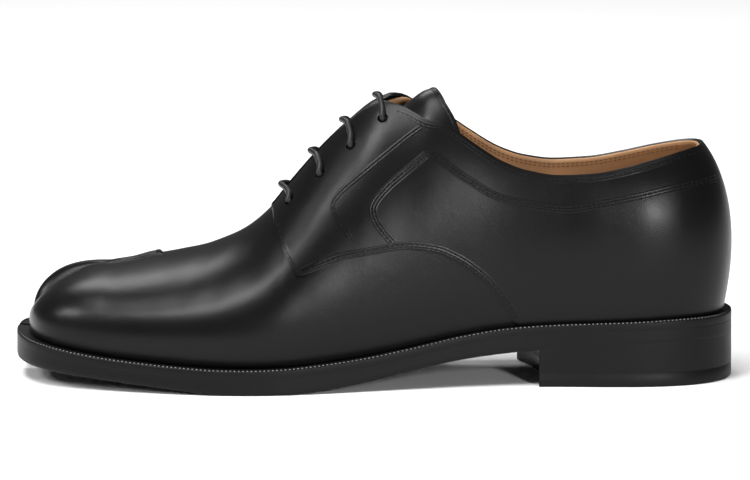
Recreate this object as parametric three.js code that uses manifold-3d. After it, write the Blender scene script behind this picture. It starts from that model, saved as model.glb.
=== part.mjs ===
import * as THREE from "three";
import Module from "manifold-3d";

const kernel = await Module();
kernel.setup();
const { Manifold, Mesh } = kernel;

// Driving dimensions, mm
const LENGTH = 300;
const BALL_WIDTH = 107;
const INSTEP_HEIGHT = 118;
const LEATHER = 1.8;
const QUARTER_LIFT = 1.0;
const FEATHER_MARGIN = 6;
const HEEL_MARGIN = 4.8;
const SEAT_GAP = 0.3;
const WELT_THICKNESS = 3.4;
const WELT_WIDTH = 9.6;
const INSOLE_RISE = 0.9;
const HEEL_LENGTH = 91;
const BREAST_SKEW = 9;
const BREAST_HOLLOW = 6;
const CLEFT_FADE = 7;
const CLEFT_GAP = 2.4;
const CLEFT_ROUND = 9.5;
const CLEFT_SIDE = 11;
const SLOT_WIDTH = 3.8;
const SEAM_RADIUS = 1.7;
const THROAT_WIDTH = 10;
const COLLAR_WIDTH = 16;
const EYELET_RADIUS = 2.2;
const LACE_RADIUS = 1.25;
const TONGUE_THICKNESS = 2.4;
const LACE_CLEARANCE = 0.2;
const BAR_RISE = 2.1;
const SKIRT = 7;

// Places along the foot, as shares of the length
const HEEL_CENTRE = 0.11 * LENGTH;
const HEEL_FAN = 0.2333 * LENGTH;
const LACED_TOP = 0.4733 * LENGTH;
const THROAT_TOP = 0.4867 * LENGTH;
const THROAT = 0.6417 * LENGTH;
const TONGUE_SEAT = 0.6533 * LENGTH;
const CLEFT_START = 0.8517 * LENGTH;
const CLEFT_OPEN = CLEFT_START + CLEFT_FADE;
const LIP_START = 0.8633 * LENGTH;
const LIP_END = 0.9533 * LENGTH;
const TOE_CAP_START = 0.8733 * LENGTH;

// Levels that lie clear of everything
const HIGH = 2 * INSTEP_HEIGHT;
const DEEP = -INSTEP_HEIGHT;
const HOLLOW = 0.45 * INSTEP_HEIGHT;

// Plan of the sole edge: along as a share of the length, sides as shares of the ball width
const OUTLINE = [
  { along: 0, lateral: 0, medial: 0 },
  { along: 0.01, lateral: 0.1308, medial: 0.1308 },
  { along: 0.0333, lateral: 0.2196, medial: 0.2196 },
  { along: 0.07, lateral: 0.2804, medial: 0.2804 },
  { along: 0.12, lateral: 0.3131, medial: 0.3112 },
  { along: 0.1833, lateral: 0.3178, medial: 0.3112 },
  { along: 0.25, lateral: 0.3112, medial: 0.2944 },
  { along: 0.3167, lateral: 0.3178, medial: 0.2682 },
  { along: 0.3833, lateral: 0.3439, medial: 0.2542 },
  { along: 0.45, lateral: 0.3813, medial: 0.2682 },
  { along: 0.5167, lateral: 0.4234, medial: 0.3047 },
  { along: 0.5833, lateral: 0.4673, medial: 0.3738 },
  { along: 0.64, lateral: 0.4953, medial: 0.4439 },
  { along: 0.7, lateral: 0.4972, medial: 0.4907 },
  { along: 0.76, lateral: 0.4766, medial: 0.5047 },
  { along: 0.8167, lateral: 0.4449, medial: 0.4925 },
  { along: 0.8733, lateral: 0.4019, medial: 0.4654 },
  { along: 0.92, lateral: 0.3533, medial: 0.428 },
  { along: 0.9533, lateral: 0.2972, medial: 0.3785 },
  { along: 0.9767, lateral: 0.2243, medial: 0.3178 },
  { along: 0.9917, lateral: 0.1308, medial: 0.243 },
  { along: 0.9983, lateral: 0.028, medial: 0.1542 },
  { along: 1, lateral: -0.0561, medial: 0.0561 },
];

// Heights of the welt top and the sole bottom as shares of the instep height
const LEVELS = [
  { along: 0, welt: 0.2347, bottom: 0.1517 },
  { along: 0.06, welt: 0.2347, bottom: 0.1517 },
  { along: 0.1467, welt: 0.2271, bottom: 0.1449 },
  { along: 0.2567, welt: 0.2161, bottom: 0.1322 },
  { along: 0.3167, welt: 0.2051, bottom: 0.1195 },
  { along: 0.38, welt: 0.1814, bottom: 0.1 },
  { along: 0.4467, welt: 0.1466, bottom: 0.0678 },
  { along: 0.5133, welt: 0.1169, bottom: 0.0339 },
  { along: 0.5667, welt: 0.1008, bottom: 0.0119 },
  { along: 0.62, welt: 0.0898, bottom: 0 },
  { along: 0.6667, welt: 0.0864, bottom: 0 },
  { along: 0.7133, welt: 0.0873, bottom: 0 },
  { along: 0.76, welt: 0.0932, bottom: 0.0119 },
  { along: 0.8167, welt: 0.1034, bottom: 0.0263 },
  { along: 0.8733, welt: 0.1161, bottom: 0.0398 },
  { along: 0.92, welt: 0.1314, bottom: 0.0508 },
  { along: 0.9667, welt: 0.1492, bottom: 0.0627 },
  { along: 1, welt: 0.161, bottom: 0.0703 },
];

// Last sections: top height, ridge side shift, swell above the feather line and section power
const LAST = [
  { along: 0.11, top: 0.9068, spine: 0, swellHeight: 27, swell: 3.1, power: 2.1 },
  { along: 0.2, top: 0.911, spine: 0, swellHeight: 27, swell: 3, power: 2.2 },
  { along: 0.2667, top: 0.9237, spine: -0.0047, swellHeight: 25, swell: 2.6, power: 2.3 },
  { along: 0.3333, top: 0.9661, spine: -0.014, swellHeight: 22, swell: 2.2, power: 2.2 },
  { along: 0.4167, top: 1.0381, spine: -0.0234, swellHeight: 19, swell: 2, power: 2 },
  { along: 0.45, top: 1.0212, spine: -0.028, swellHeight: 18, swell: 2, power: 1.9 },
  { along: 0.4867, top: 1, spine: -0.028, swellHeight: 17, swell: 2, power: 1.85 },
  { along: 0.5, top: 0.9881, spine: -0.028, swellHeight: 17, swell: 2, power: 1.82 },
  { along: 0.5367, top: 0.911, spine: -0.0234, swellHeight: 16, swell: 2, power: 1.82 },
  { along: 0.5767, top: 0.8034, spine: -0.0187, swellHeight: 15, swell: 2, power: 1.85 },
  { along: 0.62, top: 0.6695, spine: -0.0047, swellHeight: 14, swell: 2, power: 1.9 },
  { along: 0.6433, top: 0.5932, spine: 0.0047, swellHeight: 13, swell: 2, power: 1.95 },
  { along: 0.6733, top: 0.5254, spine: 0.0187, swellHeight: 12, swell: 2, power: 2 },
  { along: 0.7, top: 0.4864, spine: 0.0327, swellHeight: 11.5, swell: 2, power: 2.05 },
  { along: 0.7333, top: 0.4517, spine: 0.0514, swellHeight: 11, swell: 1.9, power: 2.1 },
  { along: 0.7767, top: 0.4237, spine: 0.0748, swellHeight: 10, swell: 1.7, power: 2.15 },
  { along: 0.81, top: 0.4085, spine: 0.0888, swellHeight: 9, swell: 1.4, power: 2.2 },
  { along: 0.8433, top: 0.3924, spine: 0.0981, swellHeight: 8, swell: 1.1, power: 2.3 },
  { along: 0.8767, top: 0.3814, spine: 0.1028, swellHeight: 7, swell: 0.8, power: 2.4 },
  { along: 1, top: 0.3814, spine: 0.1028, swellHeight: 5, swell: 0.4, power: 2.5 },
];
// How round each toe lobe falls toward its tip
const TOE_POWER = { "-1": 1.7, 1: 2.2 };

// Side view of the collar line, back to front
const COLLAR = [
  { along: -0.02, height: 0.8432 },
  { along: 0.0423, height: 0.8305 },
  { along: 0.1067, height: 0.7966 },
  { along: 0.1533, height: 0.7669 },
  { along: 0.2, height: 0.7458 },
  { along: 0.2467, height: 0.7407 },
  { along: 0.29, height: 0.7568 },
  { along: 0.3233, height: 0.7873 },
  { along: 0.3667, height: 0.8559 },
  { along: 0.39, height: 0.8966 },
  { along: 0.408, height: 0.9195 },
  { along: 0.4293, height: 0.9297 },
  { along: 0.4433, height: 0.9466 },
  { along: 0.4613, height: 0.9678 },
  { along: 0.479, height: 0.9797 },
  { along: 0.49, height: 0.9958 },
  { along: 0.5, height: 1.0339 },
];

// Side view of the quarter's front edge, from the feather line up to the throat
const QUARTER = [
  { along: 0.2933, height: 0.0847 },
  { along: 0.31, height: 0.2322 },
  { along: 0.3333, height: 0.3271 },
  { along: 0.3553, height: 0.3881 },
  { along: 0.3867, height: 0.4458 },
  { along: 0.4167, height: 0.4788 },
  { along: 0.4533, height: 0.4907 },
  { along: 0.5027, height: 0.4754 },
  { along: 0.5423, height: 0.4593 },
  { along: 0.5757, height: 0.4288 },
  { along: 0.6033, height: 0.4085 },
  { along: 0.6177, height: 0.4619 },
  { along: 0.6333, height: 0.5449 },
  { along: 0.641, height: 0.5932 },
  { along: 0.6433, height: 0.661 },
];

// Plan of half the tongue, from its top edge to its front
const TONGUE = [
  { along: 0.4167, side: 0 },
  { along: 0.412, side: 0.0561 },
  { along: 0.4017, side: 0.1121 },
  { along: 0.3883, side: 0.1682 },
  { along: 0.3817, side: 0.2056 },
  { along: 0.3867, side: 0.2336 },
  { along: 0.45, side: 0.2523 },
  { along: 0.55, side: 0.243 },
  { along: 0.6333, side: 0.2056 },
  { along: 0.6633, side: 0.1308 },
  { along: 0.6667, side: 0 },
];

// Eyelets, and where the lace bar over each pair crosses the middle
const EYELETS = [
  { along: 0.4893, bar: 0.4985, side: 0.1402 },
  { along: 0.5337, bar: 0.5445, side: 0.1682 },
  { along: 0.5763, bar: 0.588, side: 0.1841 },
  { along: 0.619, bar: 0.629, side: 0.1729 },
];

// Points are given as distance from the heel back, side (medial positive) and height
function place(along, side, height) {
  return new THREE.Vector3(LENGTH / 2 - along, side, height);
}

function smooth(t) {
  const c = Math.min(1, Math.max(0, t));
  return c * c * (3 - 2 * c);
}

// Monotone cubic through one named column of a table
function column(table, name, scale) {
  const x = table.map((row) => row.along * LENGTH);
  const y = table.map((row) => row[name] * scale);
  const n = x.length;
  const step = x.slice(1).map((value, i) => (y[i + 1] - y[i]) / (value - x[i]));
  const slope = x.map((value, i) => {
    if (i === 0) return step[0];
    if (i === n - 1) return step[n - 2];
    if (step[i - 1] * step[i] <= 0) return 0;
    const a = 2 * (x[i + 1] - value) + (value - x[i - 1]);
    const b = (x[i + 1] - value) + 2 * (value - x[i - 1]);
    return (a + b) / (a / step[i - 1] + b / step[i]);
  });
  return (s) => {
    const c = Math.min(x[n - 1], Math.max(x[0], s));
    let i = 0;
    while (i < n - 2 && c > x[i + 1]) i += 1;
    const h = x[i + 1] - x[i];
    const t = (c - x[i]) / h;
    const a = (1 + 2 * t) * (1 - t) ** 2 * y[i] + t * (1 - t) ** 2 * h * slope[i];
    return a + t * t * (3 - 2 * t) * y[i + 1] + t * t * (t - 1) * h * slope[i + 1];
  };
}

const weltTop = column(LEVELS, "welt", INSTEP_HEIGHT);
const soleBottom = column(LEVELS, "bottom", INSTEP_HEIGHT);
const lastTop = column(LAST, "top", INSTEP_HEIGHT);
const spineSide = column(LAST, "spine", BALL_WIDTH);
const swellHeight = column(LAST, "swellHeight", 1);
const swell = column(LAST, "swell", 1);
const power = column(LAST, "power", 1);

// Closed plan curve through the outline rows, up the lateral side and back down the medial side
const ROWS = OUTLINE.length - 1;
const loop = [];
for (let i = 0; i < ROWS; i += 1) {
  loop.push(new THREE.Vector3(OUTLINE[i].along * LENGTH, -OUTLINE[i].lateral * BALL_WIDTH, 0));
}
for (let i = ROWS; i > 0; i -= 1) {
  loop.push(new THREE.Vector3(OUTLINE[i].along * LENGTH, OUTLINE[i].medial * BALL_WIDTH, 0));
}
const plan = new THREE.CatmullRomCurve3(loop, true, "centripetal");

// Outline point of a side (-1 lateral, 1 medial) at a row number, moved in by a margin
function edge(side, row, margin) {
  const t = ((side < 0 ? row : 2 * ROWS - row) / (2 * ROWS)) % 1;
  const point = plan.getPoint(t);
  const along = plan.getTangent(t);
  return new THREE.Vector2(point.x - along.y * margin, point.y + along.x * margin);
}

// Rows of the last: closed heel and waist, then two toe lobes that end at their own tips
const TOE_ROW = 15;
const LAST_ROW = 21.5;
const TIP_ROWS = { "-1": 21.5, 1: 20.8 };
const SWELL_STEPS = 2;
const SIDE_STEPS = 8;
const CLEFT_STEPS = 4;

function sideRow(side, row) {
  if (row <= TOE_ROW) return row;
  return TOE_ROW + (row - TOE_ROW) * (TIP_ROWS[side] - TOE_ROW) / (LAST_ROW - TOE_ROW);
}

function feather(s) {
  return weltTop(s) + SEAT_GAP;
}

function featherMargin(s) {
  return HEEL_MARGIN + (FEATHER_MARGIN - HEEL_MARGIN) * smooth((s / LENGTH - 0.2) * 3);
}

// Foot, widest point, ridge and cleft bottom of one half section, moved in by an inset that may vary along
function half(side, row, wall) {
  const r = sideRow(side, row);
  const base = edge(side, r, 0).x;
  const inset = typeof wall === "function" ? wall(base) : wall;
  const margin = featherMargin(base) + inset;
  const foot = edge(side, r, margin);
  const wide = edge(side, r, margin - swell(base));
  const tip = edge(side, TIP_ROWS[side], margin - swell(LENGTH));
  const wideHeight = feather(foot.x) + swellHeight(base);
  let ridgeAlong = wide.x;
  if (base < HEEL_FAN) {
    const t = base / HEEL_FAN;
    ridgeAlong = HEEL_CENTRE + (HEEL_FAN - HEEL_CENTRE) * (t * t * (3 - 2 * t));
    ridgeAlong = Math.max(ridgeAlong + t * t * (t - 1) * HEEL_FAN * 0.6, HEEL_CENTRE);
  } else if (row < TOE_ROW) {
    ridgeAlong = (edge(-1, row, margin).x + edge(1, row, margin).x) / 2;
  }
  const ridge = new THREE.Vector2(ridgeAlong, spineSide(ridgeAlong));
  const bottom = ridge.clone();
  let height = lastTop(ridgeAlong) - inset;
  let depth = 0;
  if (row > TOE_ROW) {
    const start = CLEFT_START - inset;
    const open = smooth((wide.x - start) / (CLEFT_OPEN - CLEFT_START));
    const gap = open * (CLEFT_GAP / 2 + inset);
    const reach = CLEFT_ROUND;
    const q = Math.min(1, Math.max(0, (wide.x - tip.x + reach) / reach));
    const inner = ridge.y + side * gap;
    bottom.y = inner + (tip.y - inner) * (1 - Math.sqrt(1 - q * q));
    const spread = smooth((wide.x - LIP_START) / (LIP_END - LIP_START));
    const share = Math.min(0.42, CLEFT_ROUND / Math.max(1, Math.abs(wide.y - bottom.y)));
    ridge.y = bottom.y + (wide.y - bottom.y) * share * spread;
    const fall = Math.min(1, Math.max(0, (wide.x - TOE_CAP_START) / (tip.x - TOE_CAP_START)));
    const drop = Math.max(0, 1 - fall ** TOE_POWER[side]) ** (1 / TOE_POWER[side]);
    height = wideHeight + (height - wideHeight) * drop;
    depth = open * (height - feather(wide.x) + 2);
  }
  return { foot, wide, ridge, bottom, wideHeight, height, depth, bend: power(base) };
}

// Point between the widest point and the ridge, turn 0 to 1
function shoulder(h, turn) {
  const angle = turn * Math.PI / 2;
  const out = Math.max(0, Math.cos(angle)) ** (2 / h.bend);
  const up = Math.sin(angle) ** (2 / h.bend);
  return place(
    h.ridge.x + (h.wide.x - h.ridge.x) * out,
    h.ridge.y + (h.wide.y - h.ridge.y) * out,
    h.wideHeight + (h.height - h.wideHeight) * up,
  );
}

function halfSection(side, row, inset) {
  const h = half(side, row, inset);
  const low = feather(h.foot.x);
  const points = [place(h.foot.x, h.foot.y, low - SKIRT), place(h.foot.x, h.foot.y, low)];
  for (let i = 1; i < SWELL_STEPS; i += 1) {
    const out = Math.sin(i / SWELL_STEPS * Math.PI / 2);
    const at = h.foot.clone().lerp(h.wide, out);
    points.push(place(at.x, at.y, low + (h.wideHeight - low) * i / SWELL_STEPS));
  }
  for (let i = 0; i < SIDE_STEPS; i += 1) points.push(shoulder(h, i / SIDE_STEPS));
  for (let i = 0; i <= CLEFT_STEPS; i += 1) {
    const angle = i / CLEFT_STEPS * Math.PI / 2;
    const at = h.ridge.clone().lerp(h.bottom, Math.sin(angle));
    points.push(place(at.x, at.y, h.height - h.depth * (1 - Math.cos(angle))));
  }
  return points;
}

// Closed solid from points and triangles, with equal points joined and faces turned outward
function solid(points, faces) {
  const known = new Map();
  const positions = [];
  const index = points.map((p) => {
    const key = [p.x, p.y, p.z].map((v) => Math.round(v * 1e4)).join(" ");
    if (!known.has(key)) {
      known.set(key, positions.length);
      positions.push(p);
    }
    return known.get(key);
  });
  let triangles = faces.map((face) => face.map((i) => index[i]));
  triangles = triangles.filter(([a, b, c]) => a !== b && b !== c && c !== a);
  let volume = 0;
  for (const [a, b, c] of triangles) {
    volume += positions[a].dot(positions[b].clone().cross(positions[c]));
  }
  if (volume < 0) triangles = triangles.map(([a, b, c]) => [a, c, b]);
  return Manifold.ofMesh(new Mesh({
    numProp: 3,
    vertProperties: new Float32Array(positions.flatMap((p) => [p.x, p.y, p.z])),
    triVerts: new Uint32Array(triangles.flat()),
  }));
}

// Triangles between successive closed rings of n points
function skin(count, n) {
  const faces = [];
  for (let k = 0; k < count - 1; k += 1) {
    for (let i = 0; i < n; i += 1) {
      const a = k * n + i;
      const b = k * n + (i + 1) % n;
      faces.push([a, b, b + n], [a, b + n, a + n]);
    }
  }
  return faces;
}

// Triangles that close a ring by joining each point to its partner from the other end
function cap(ring, flip) {
  const faces = [];
  const n = ring.length;
  for (let i = 0; 2 * i < n - 2; i += 1) {
    const a = ring[i];
    const b = ring[i + 1];
    const c = ring[n - 2 - i];
    const d = ring[n - 1 - i];
    const pair = [[a, c, b], [a, d, c]];
    for (const face of pair) faces.push(flip ? [face[0], face[2], face[1]] : face);
  }
  return faces;
}

function range(start, count) {
  return Array.from({ length: count }, (unused, i) => start + i);
}

function lofted(rings) {
  const n = rings[0].length;
  const last = (rings.length - 1) * n;
  const faces = [...skin(rings.length, n), ...cap(range(0, n), false), ...cap(range(last, n), true)];
  return solid(rings.flat(), faces);
}

// Body of the last, open slot between the lobes included
function form(inset, rows) {
  const rings = rows.map((row) => [
    ...halfSection(-1, row, inset),
    ...halfSection(1, row, inset).reverse(),
  ]);
  const n = rings[0].length;
  const first = (rings.length - 1) * n;
  const faces = [
    ...skin(rings.length, n),
    ...cap(range(0, n), false),
    ...cap(range(first, n / 2), true),
    ...cap(range(first + n / 2, n / 2), true),
    [first, first + n / 2 - 1, first + n / 2],
    [first, first + n / 2, first + n - 1],
  ];
  return solid(rings.flat(), faces);
}

// Upright or sideways prism over a polygon
function prism(polygon, from, to, map) {
  const contour = polygon.map(([a, b]) => new THREE.Vector2(a, b));
  const n = contour.length;
  const points = [from, to].flatMap((level) => polygon.map(([a, b]) => map(a, b, level)));
  const faces = skin(2, n);
  const turn = Math.sign(THREE.ShapeUtils.area(contour));
  for (const [a, b, c] of THREE.ShapeUtils.triangulateShape(contour, [])) {
    const same = turn * THREE.ShapeUtils.area([contour[a], contour[b], contour[c]]) > 0;
    faces.push(same ? [a, c, b] : [a, b, c], same ? [n + a, n + b, n + c] : [n + a, n + c, n + b]);
  }
  return solid(points, faces);
}

function planPrism(polygon, low, high) {
  return prism(polygon, low, high, (s, y, z) => place(s, y, z));
}

function sidePrism(polygon) {
  return prism(polygon, -BALL_WIDTH, BALL_WIDTH, (s, z, y) => place(s, y, z));
}

function sideView(table) {
  return table.map((row) => [row.along * LENGTH, row.height * INSTEP_HEIGHT]);
}

function tube(path, radius, sides) {
  const rings = path.map((point, k) => {
    const ahead = path[Math.min(path.length - 1, k + 1)].clone().sub(path[Math.max(0, k - 1)]).normalize();
    const across = new THREE.Vector3(1, 0.05, 0).cross(ahead).normalize();
    const up = ahead.clone().cross(across);
    return range(0, sides).map((i) => {
      const angle = i / sides * 2 * Math.PI;
      return point.clone()
        .addScaledVector(across, radius * Math.cos(angle))
        .addScaledVector(up, radius * Math.sin(angle));
    });
  });
  return lofted(rings);
}

// Slab between the layers, each a margin from the sole edge and a height over the length
const SLAB_ROWS = [
  0, 0.3, 0.6, 1, 1.5, 2, 2.5, 3, 3.5, 4, 5, 6, 7, 8, 8.5, 9, 9.5, 10, 10.5, 11, 11.35, 11.65, 12,
  12.33, 12.67, 13, 13.25, 13.5, 14, 14.5, 15, 15.5, 16, 16.5, 17, 17.5, 18, 18.5, 19, 19.5, 20, 20.5,
  21, 21.5, 22,
];

function slab(layers) {
  return lofted(layers.map(({ margin, height }) => {
    const ring = [];
    for (const side of [-1, 1]) {
      const points = SLAB_ROWS.map((row) => edge(side, row, margin));
      if (side > 0) points.reverse();
      for (const point of points) ring.push(place(point.x, point.y, height(point.x)));
    }
    return ring;
  }));
}

const FORM_ROWS = [
  0, 0.3, 0.6, 0.9, 1.2, 1.6, 2, 2.5, 3, 3.5, 4, 4.5, 5, 5.5, 6, 6.5, 7, 7.5, 8, 8.5, 9, 9.5, 10,
  10.5, 11, 11.5, 12, 12.5, 13, 13.5, 14, 14.5, 15, 15.4, 15.6, 15.75, 15.87, 16, 16.15, 16.4, 16.7,
  17.1, 17.5, 17.9, 18.3, 18.7, 19.1, 19.5, 19.9, 20.3, 20.65, 21, 21.25, 21.5,
];
const INNER_ROWS = [
  0, 0.4, 0.8, 1.2, 1.7, 2.3, 3, 4, 5, 6, 7, 8, 9, 10, 11, 11.5, 12, 12.4, 12.8, 13.2, 13.6, 14, 14.5,
  15, 15.4, 15.6, 15.75, 15.9, 16.1, 16.5, 17, 17.6, 18.2, 18.8, 19.3, 19.8, 20.3, 20.8, 21.2, 21.5,
];

// Upper: vamp and raised quarters around one hollow, open underneath, at the collar and the throat
const low = range(0, 31).map((i) => [i / 30 * (LENGTH + 20) - 10, feather(i / 30 * (LENGTH + 20) - 10)]);
const below = sidePrism([...low, [LENGTH + 10, DEEP], [-10, DEEP]]);
const collar = sidePrism([...sideView(COLLAR), [0.5 * LENGTH, HIGH], [-20, HIGH]]);
const quarterTop = QUARTER.at(-1).along * LENGTH;
const region = sidePrism([...sideView(QUARTER), [quarterTop, HIGH], [-20, HIGH], [-20, 0]]);

function slotSide(s) {
  return (COLLAR_WIDTH + (THROAT_WIDTH - COLLAR_WIDTH) * (s - THROAT_TOP) / (THROAT - THROAT_TOP)) / 2;
}
const throatRun = [1, 0.7, 0.4, 0, -0.55].map((t) => THROAT_TOP + (THROAT - THROAT_TOP) * t);
const throat = planPrism([
  ...throatRun.map((s) => [s, spineSide(s) - slotSide(s)]),
  ...throatRun.map((s) => [s, spineSide(s) + slotSide(s)]).reverse(),
], HOLLOW, HIGH);

// Point and outward normal of the raised quarter at a given distance along and to the side
function onQuarter(side, along, offset) {
  const at = (row, turn) => shoulder(half(side, row, -QUARTER_LIFT), turn);
  let row = 10;
  let turn = 0.6;
  for (let i = 0; i < 30; i += 1) {
    const here = at(row, turn);
    row += (along - (LENGTH / 2 - here.x)) / 19;
    turn -= side * (spineSide(along) + side * offset - here.y) / 45;
    turn = Math.min(0.98, Math.max(0.1, turn));
  }
  const here = at(row, turn);
  const normal = at(row + 0.1, turn).sub(here).cross(at(row, turn + 0.02).sub(here)).normalize();
  if (normal.z < 0) normal.negate();
  return { here, normal };
}

let holes = [];
const bars = [];
for (const { along, bar, side: share } of EYELETS) {
  const aside = share * BALL_WIDTH;
  const path = [];
  for (const side of [-1, 1]) {
    const { here, normal } = onQuarter(side, along * LENGTH, aside);
    const inside = here.clone().addScaledVector(normal, -6);
    const outside = here.clone().addScaledVector(normal, 5);
    holes.push(tube([inside, outside], EYELET_RADIUS, 14));
    const run = [
      here.clone().addScaledVector(normal, -1.1),
      here.clone().addScaledVector(normal, 1),
    ];
    for (const offset of [aside - 1.4, 0.75 * aside, 0.56 * aside, 0.4 * aside]) {
      const crossed = 1 - offset / aside;
      const near = onQuarter(side, (along + (bar - along) * crossed) * LENGTH, offset);
      run.push(near.here.addScaledVector(near.normal, BAR_RISE));
    }
    path.push(run);
  }
  const over = path[0].at(-1).clone().add(path[1].at(-1)).multiplyScalar(0.5);
  over.z += 0.5;
  const line = new THREE.CatmullRomCurve3([...path[0], over, ...path[1].reverse()], false, "centripetal");
  bars.push(tube(line.getPoints(22), LACE_RADIUS, 8));
}

const seamRun = [-18, -16, -13, -9, -5, -1, 2].map((s) => CLEFT_START + s);
const seam = tube(seamRun.map((s, i) => {
  const sink = i === 0 ? 2.4 : i === 1 ? 1.2 : 0.7;
  return place(s, spineSide(s), lastTop(s) - sink);
}), SEAM_RADIUS, 8);

const outer = form(0, FORM_ROWS);
const raised = form(-QUARTER_LIFT, FORM_ROWS).intersect(region);
const upper = Manifold.union([outer, raised, seam])
  .subtract(Manifold.union([form(LEATHER, INNER_ROWS), below, collar, throat, ...holes]));

// Tongue: a sheet tucked beneath the vamp, with room for the lace between it and the facings
const laceRoom = 2 * LACE_RADIUS + LACE_CLEARANCE;
function tongueTop(s) {
  const laced = smooth((TONGUE_SEAT - s) / 14) * smooth((s - LACED_TOP + 14) / 14);
  return LEATHER + SEAT_GAP + laceRoom * laced;
}
const tonguePlan = [-1, 1].flatMap((side) => {
  const points = TONGUE.map((row) => {
    const s = row.along * LENGTH;
    return [s, spineSide(s) + side * row.side * BALL_WIDTH];
  });
  return side < 0 ? points.slice(0, -1) : points.reverse().slice(0, -1);
});
const tongue = form(tongueTop, INNER_ROWS)
  .subtract(form((s) => tongueTop(s) + TONGUE_THICKNESS, INNER_ROWS))
  .intersect(planPrism(tonguePlan, 0.42 * INSTEP_HEIGHT, HIGH));

// Bottom: welt ring, outsole and heel outside, insole inside
const slotBox = planPrism([
  [LENGTH - FEATHER_MARGIN - 1, CLEFT_SIDE - SLOT_WIDTH / 2],
  [LENGTH + 10, CLEFT_SIDE - SLOT_WIDTH / 2],
  [LENGTH + 10, CLEFT_SIDE + SLOT_WIDTH / 2],
  [LENGTH - FEATHER_MARGIN - 1, CLEFT_SIDE + SLOT_WIDTH / 2],
], DEEP, HIGH);
const ringHole = slab([
  { margin: WELT_WIDTH, height: (s) => weltTop(s) - 12 },
  { margin: WELT_WIDTH, height: (s) => weltTop(s) + 12 },
]);
const welt = slab([
  { margin: 0.8, height: (s) => weltTop(s) - WELT_THICKNESS },
  { margin: 0.9, height: (s) => weltTop(s) - 0.8 },
  { margin: 1.5, height: (s) => weltTop(s) },
]).subtract(ringHole).subtract(slotBox);

const soleTop = (s) => weltTop(s) - WELT_THICKNESS - SEAT_GAP;
const outsole = slab([
  { margin: 1.2, height: soleBottom },
  { margin: 0.1, height: (s) => soleBottom(s) + 1.3 },
  { margin: 0.6, height: soleTop },
]).subtract(slotBox);

const HALF_BREAST = 0.31 * BALL_WIDTH;
const breastPlan = range(0, 13).map((i) => {
  const share = i / 6 - 1;
  const corner = HEEL_LENGTH - BREAST_SKEW / 2 + share * BREAST_SKEW / 2;
  return [corner - BREAST_HOLLOW * (1 - share * share), share * HALF_BREAST];
});
const forward = planPrism([
  [breastPlan[0][0], -80],
  ...breastPlan,
  [breastPlan.at(-1)[0], 80],
  [LENGTH + 10, 80],
  [LENGTH + 10, -80],
], DEEP, HIGH);
const heel = slab([
  { margin: 0.9, height: () => 0 },
  { margin: 0, height: () => 0.9 },
  { margin: 0.8, height: (s) => Math.max(3, soleBottom(s) - SEAT_GAP) },
]).subtract(forward);

// The insole's split widens toward the toe like the walls of the cleft above it
const INSOLE_SPLIT = CLEFT_GAP / 2 + LEATHER + 0.5;
const splitRun = [[CLEFT_START - 8, 0], [LENGTH - 20, 0], [LENGTH - 14, 1], [LENGTH - 11, 2.6], [LENGTH, 5]];
const insole = slab([
  { margin: WELT_WIDTH + SEAT_GAP, height: (s) => weltTop(s) - WELT_THICKNESS },
  { margin: WELT_WIDTH + SEAT_GAP, height: (s) => weltTop(s) + INSOLE_RISE },
]).subtract(planPrism([
  ...splitRun.map(([s, flare]) => [s, CLEFT_SIDE - INSOLE_SPLIT - flare]),
  ...splitRun.map(([s, flare]) => [s, CLEFT_SIDE + INSOLE_SPLIT + flare]).reverse(),
], DEEP, HIGH));

const LEATHER_BLACK = { color: 0x17171a, roughness: 0.32, metalness: 0 };
const EDGE_BLACK = { color: 0x141416, roughness: 0.5, metalness: 0 };
const TAN = { color: 0xa87c4f, roughness: 0.6, metalness: 0 };
const LACE_BLACK = { color: 0x101012, roughness: 0.45, metalness: 0 };

const parts = [
  ["upper", upper, LEATHER_BLACK],
  ["tongue", tongue, LEATHER_BLACK],
  ["welt", welt, EDGE_BLACK],
  ["outsole", outsole, EDGE_BLACK],
  ["heel", heel, EDGE_BLACK],
  ["insole", insole, TAN],
  ...bars.map((bar, i) => [`lace_bar_${i + 1}`, bar, LACE_BLACK]),
];

const root = new THREE.Group();
root.name = "split_toe_derby_shoe";
for (const [name, body, finish] of parts) {
  const source = body.getMesh();
  const geometry = new THREE.BufferGeometry();
  geometry.setAttribute("position", new THREE.BufferAttribute(new Float32Array(source.vertProperties), 3));
  geometry.setIndex(new THREE.BufferAttribute(new Uint32Array(source.triVerts), 1));
  geometry.computeVertexNormals();
  const mesh = new THREE.Mesh(geometry, new THREE.MeshStandardMaterial(finish));
  mesh.name = name;
  root.add(mesh);
}
const centre = new THREE.Box3().setFromObject(root).getCenter(new THREE.Vector3());
for (const mesh of root.children) mesh.geometry.translate(-centre.x, -centre.y, 0);

export default root;
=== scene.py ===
"""Split toe derby shoe: the finished look of the left shoe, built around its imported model."""

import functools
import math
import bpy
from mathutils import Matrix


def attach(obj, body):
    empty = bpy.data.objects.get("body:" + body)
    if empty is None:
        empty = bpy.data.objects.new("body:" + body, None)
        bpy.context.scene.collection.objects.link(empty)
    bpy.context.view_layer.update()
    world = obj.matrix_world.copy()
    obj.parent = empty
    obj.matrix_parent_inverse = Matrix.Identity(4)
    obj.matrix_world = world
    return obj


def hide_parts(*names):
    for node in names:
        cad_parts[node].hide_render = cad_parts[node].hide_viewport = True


bl_info = {
    "name": "Split Toe Derby Shoe",
    "version": (1, 0, 0),
    "blender": (4, 5, 0),
    "location": "View3D > Sidebar > Derby Shoe",
    "description": "Builds the finished look of a split toe derby shoe",
    "category": "Object",
}

import bmesh
import bpy
import numpy as np
from bpy.props import FloatProperty, FloatVectorProperty, PointerProperty
from mathutils import Matrix, Vector
from mathutils.bvhtree import BVHTree

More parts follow.
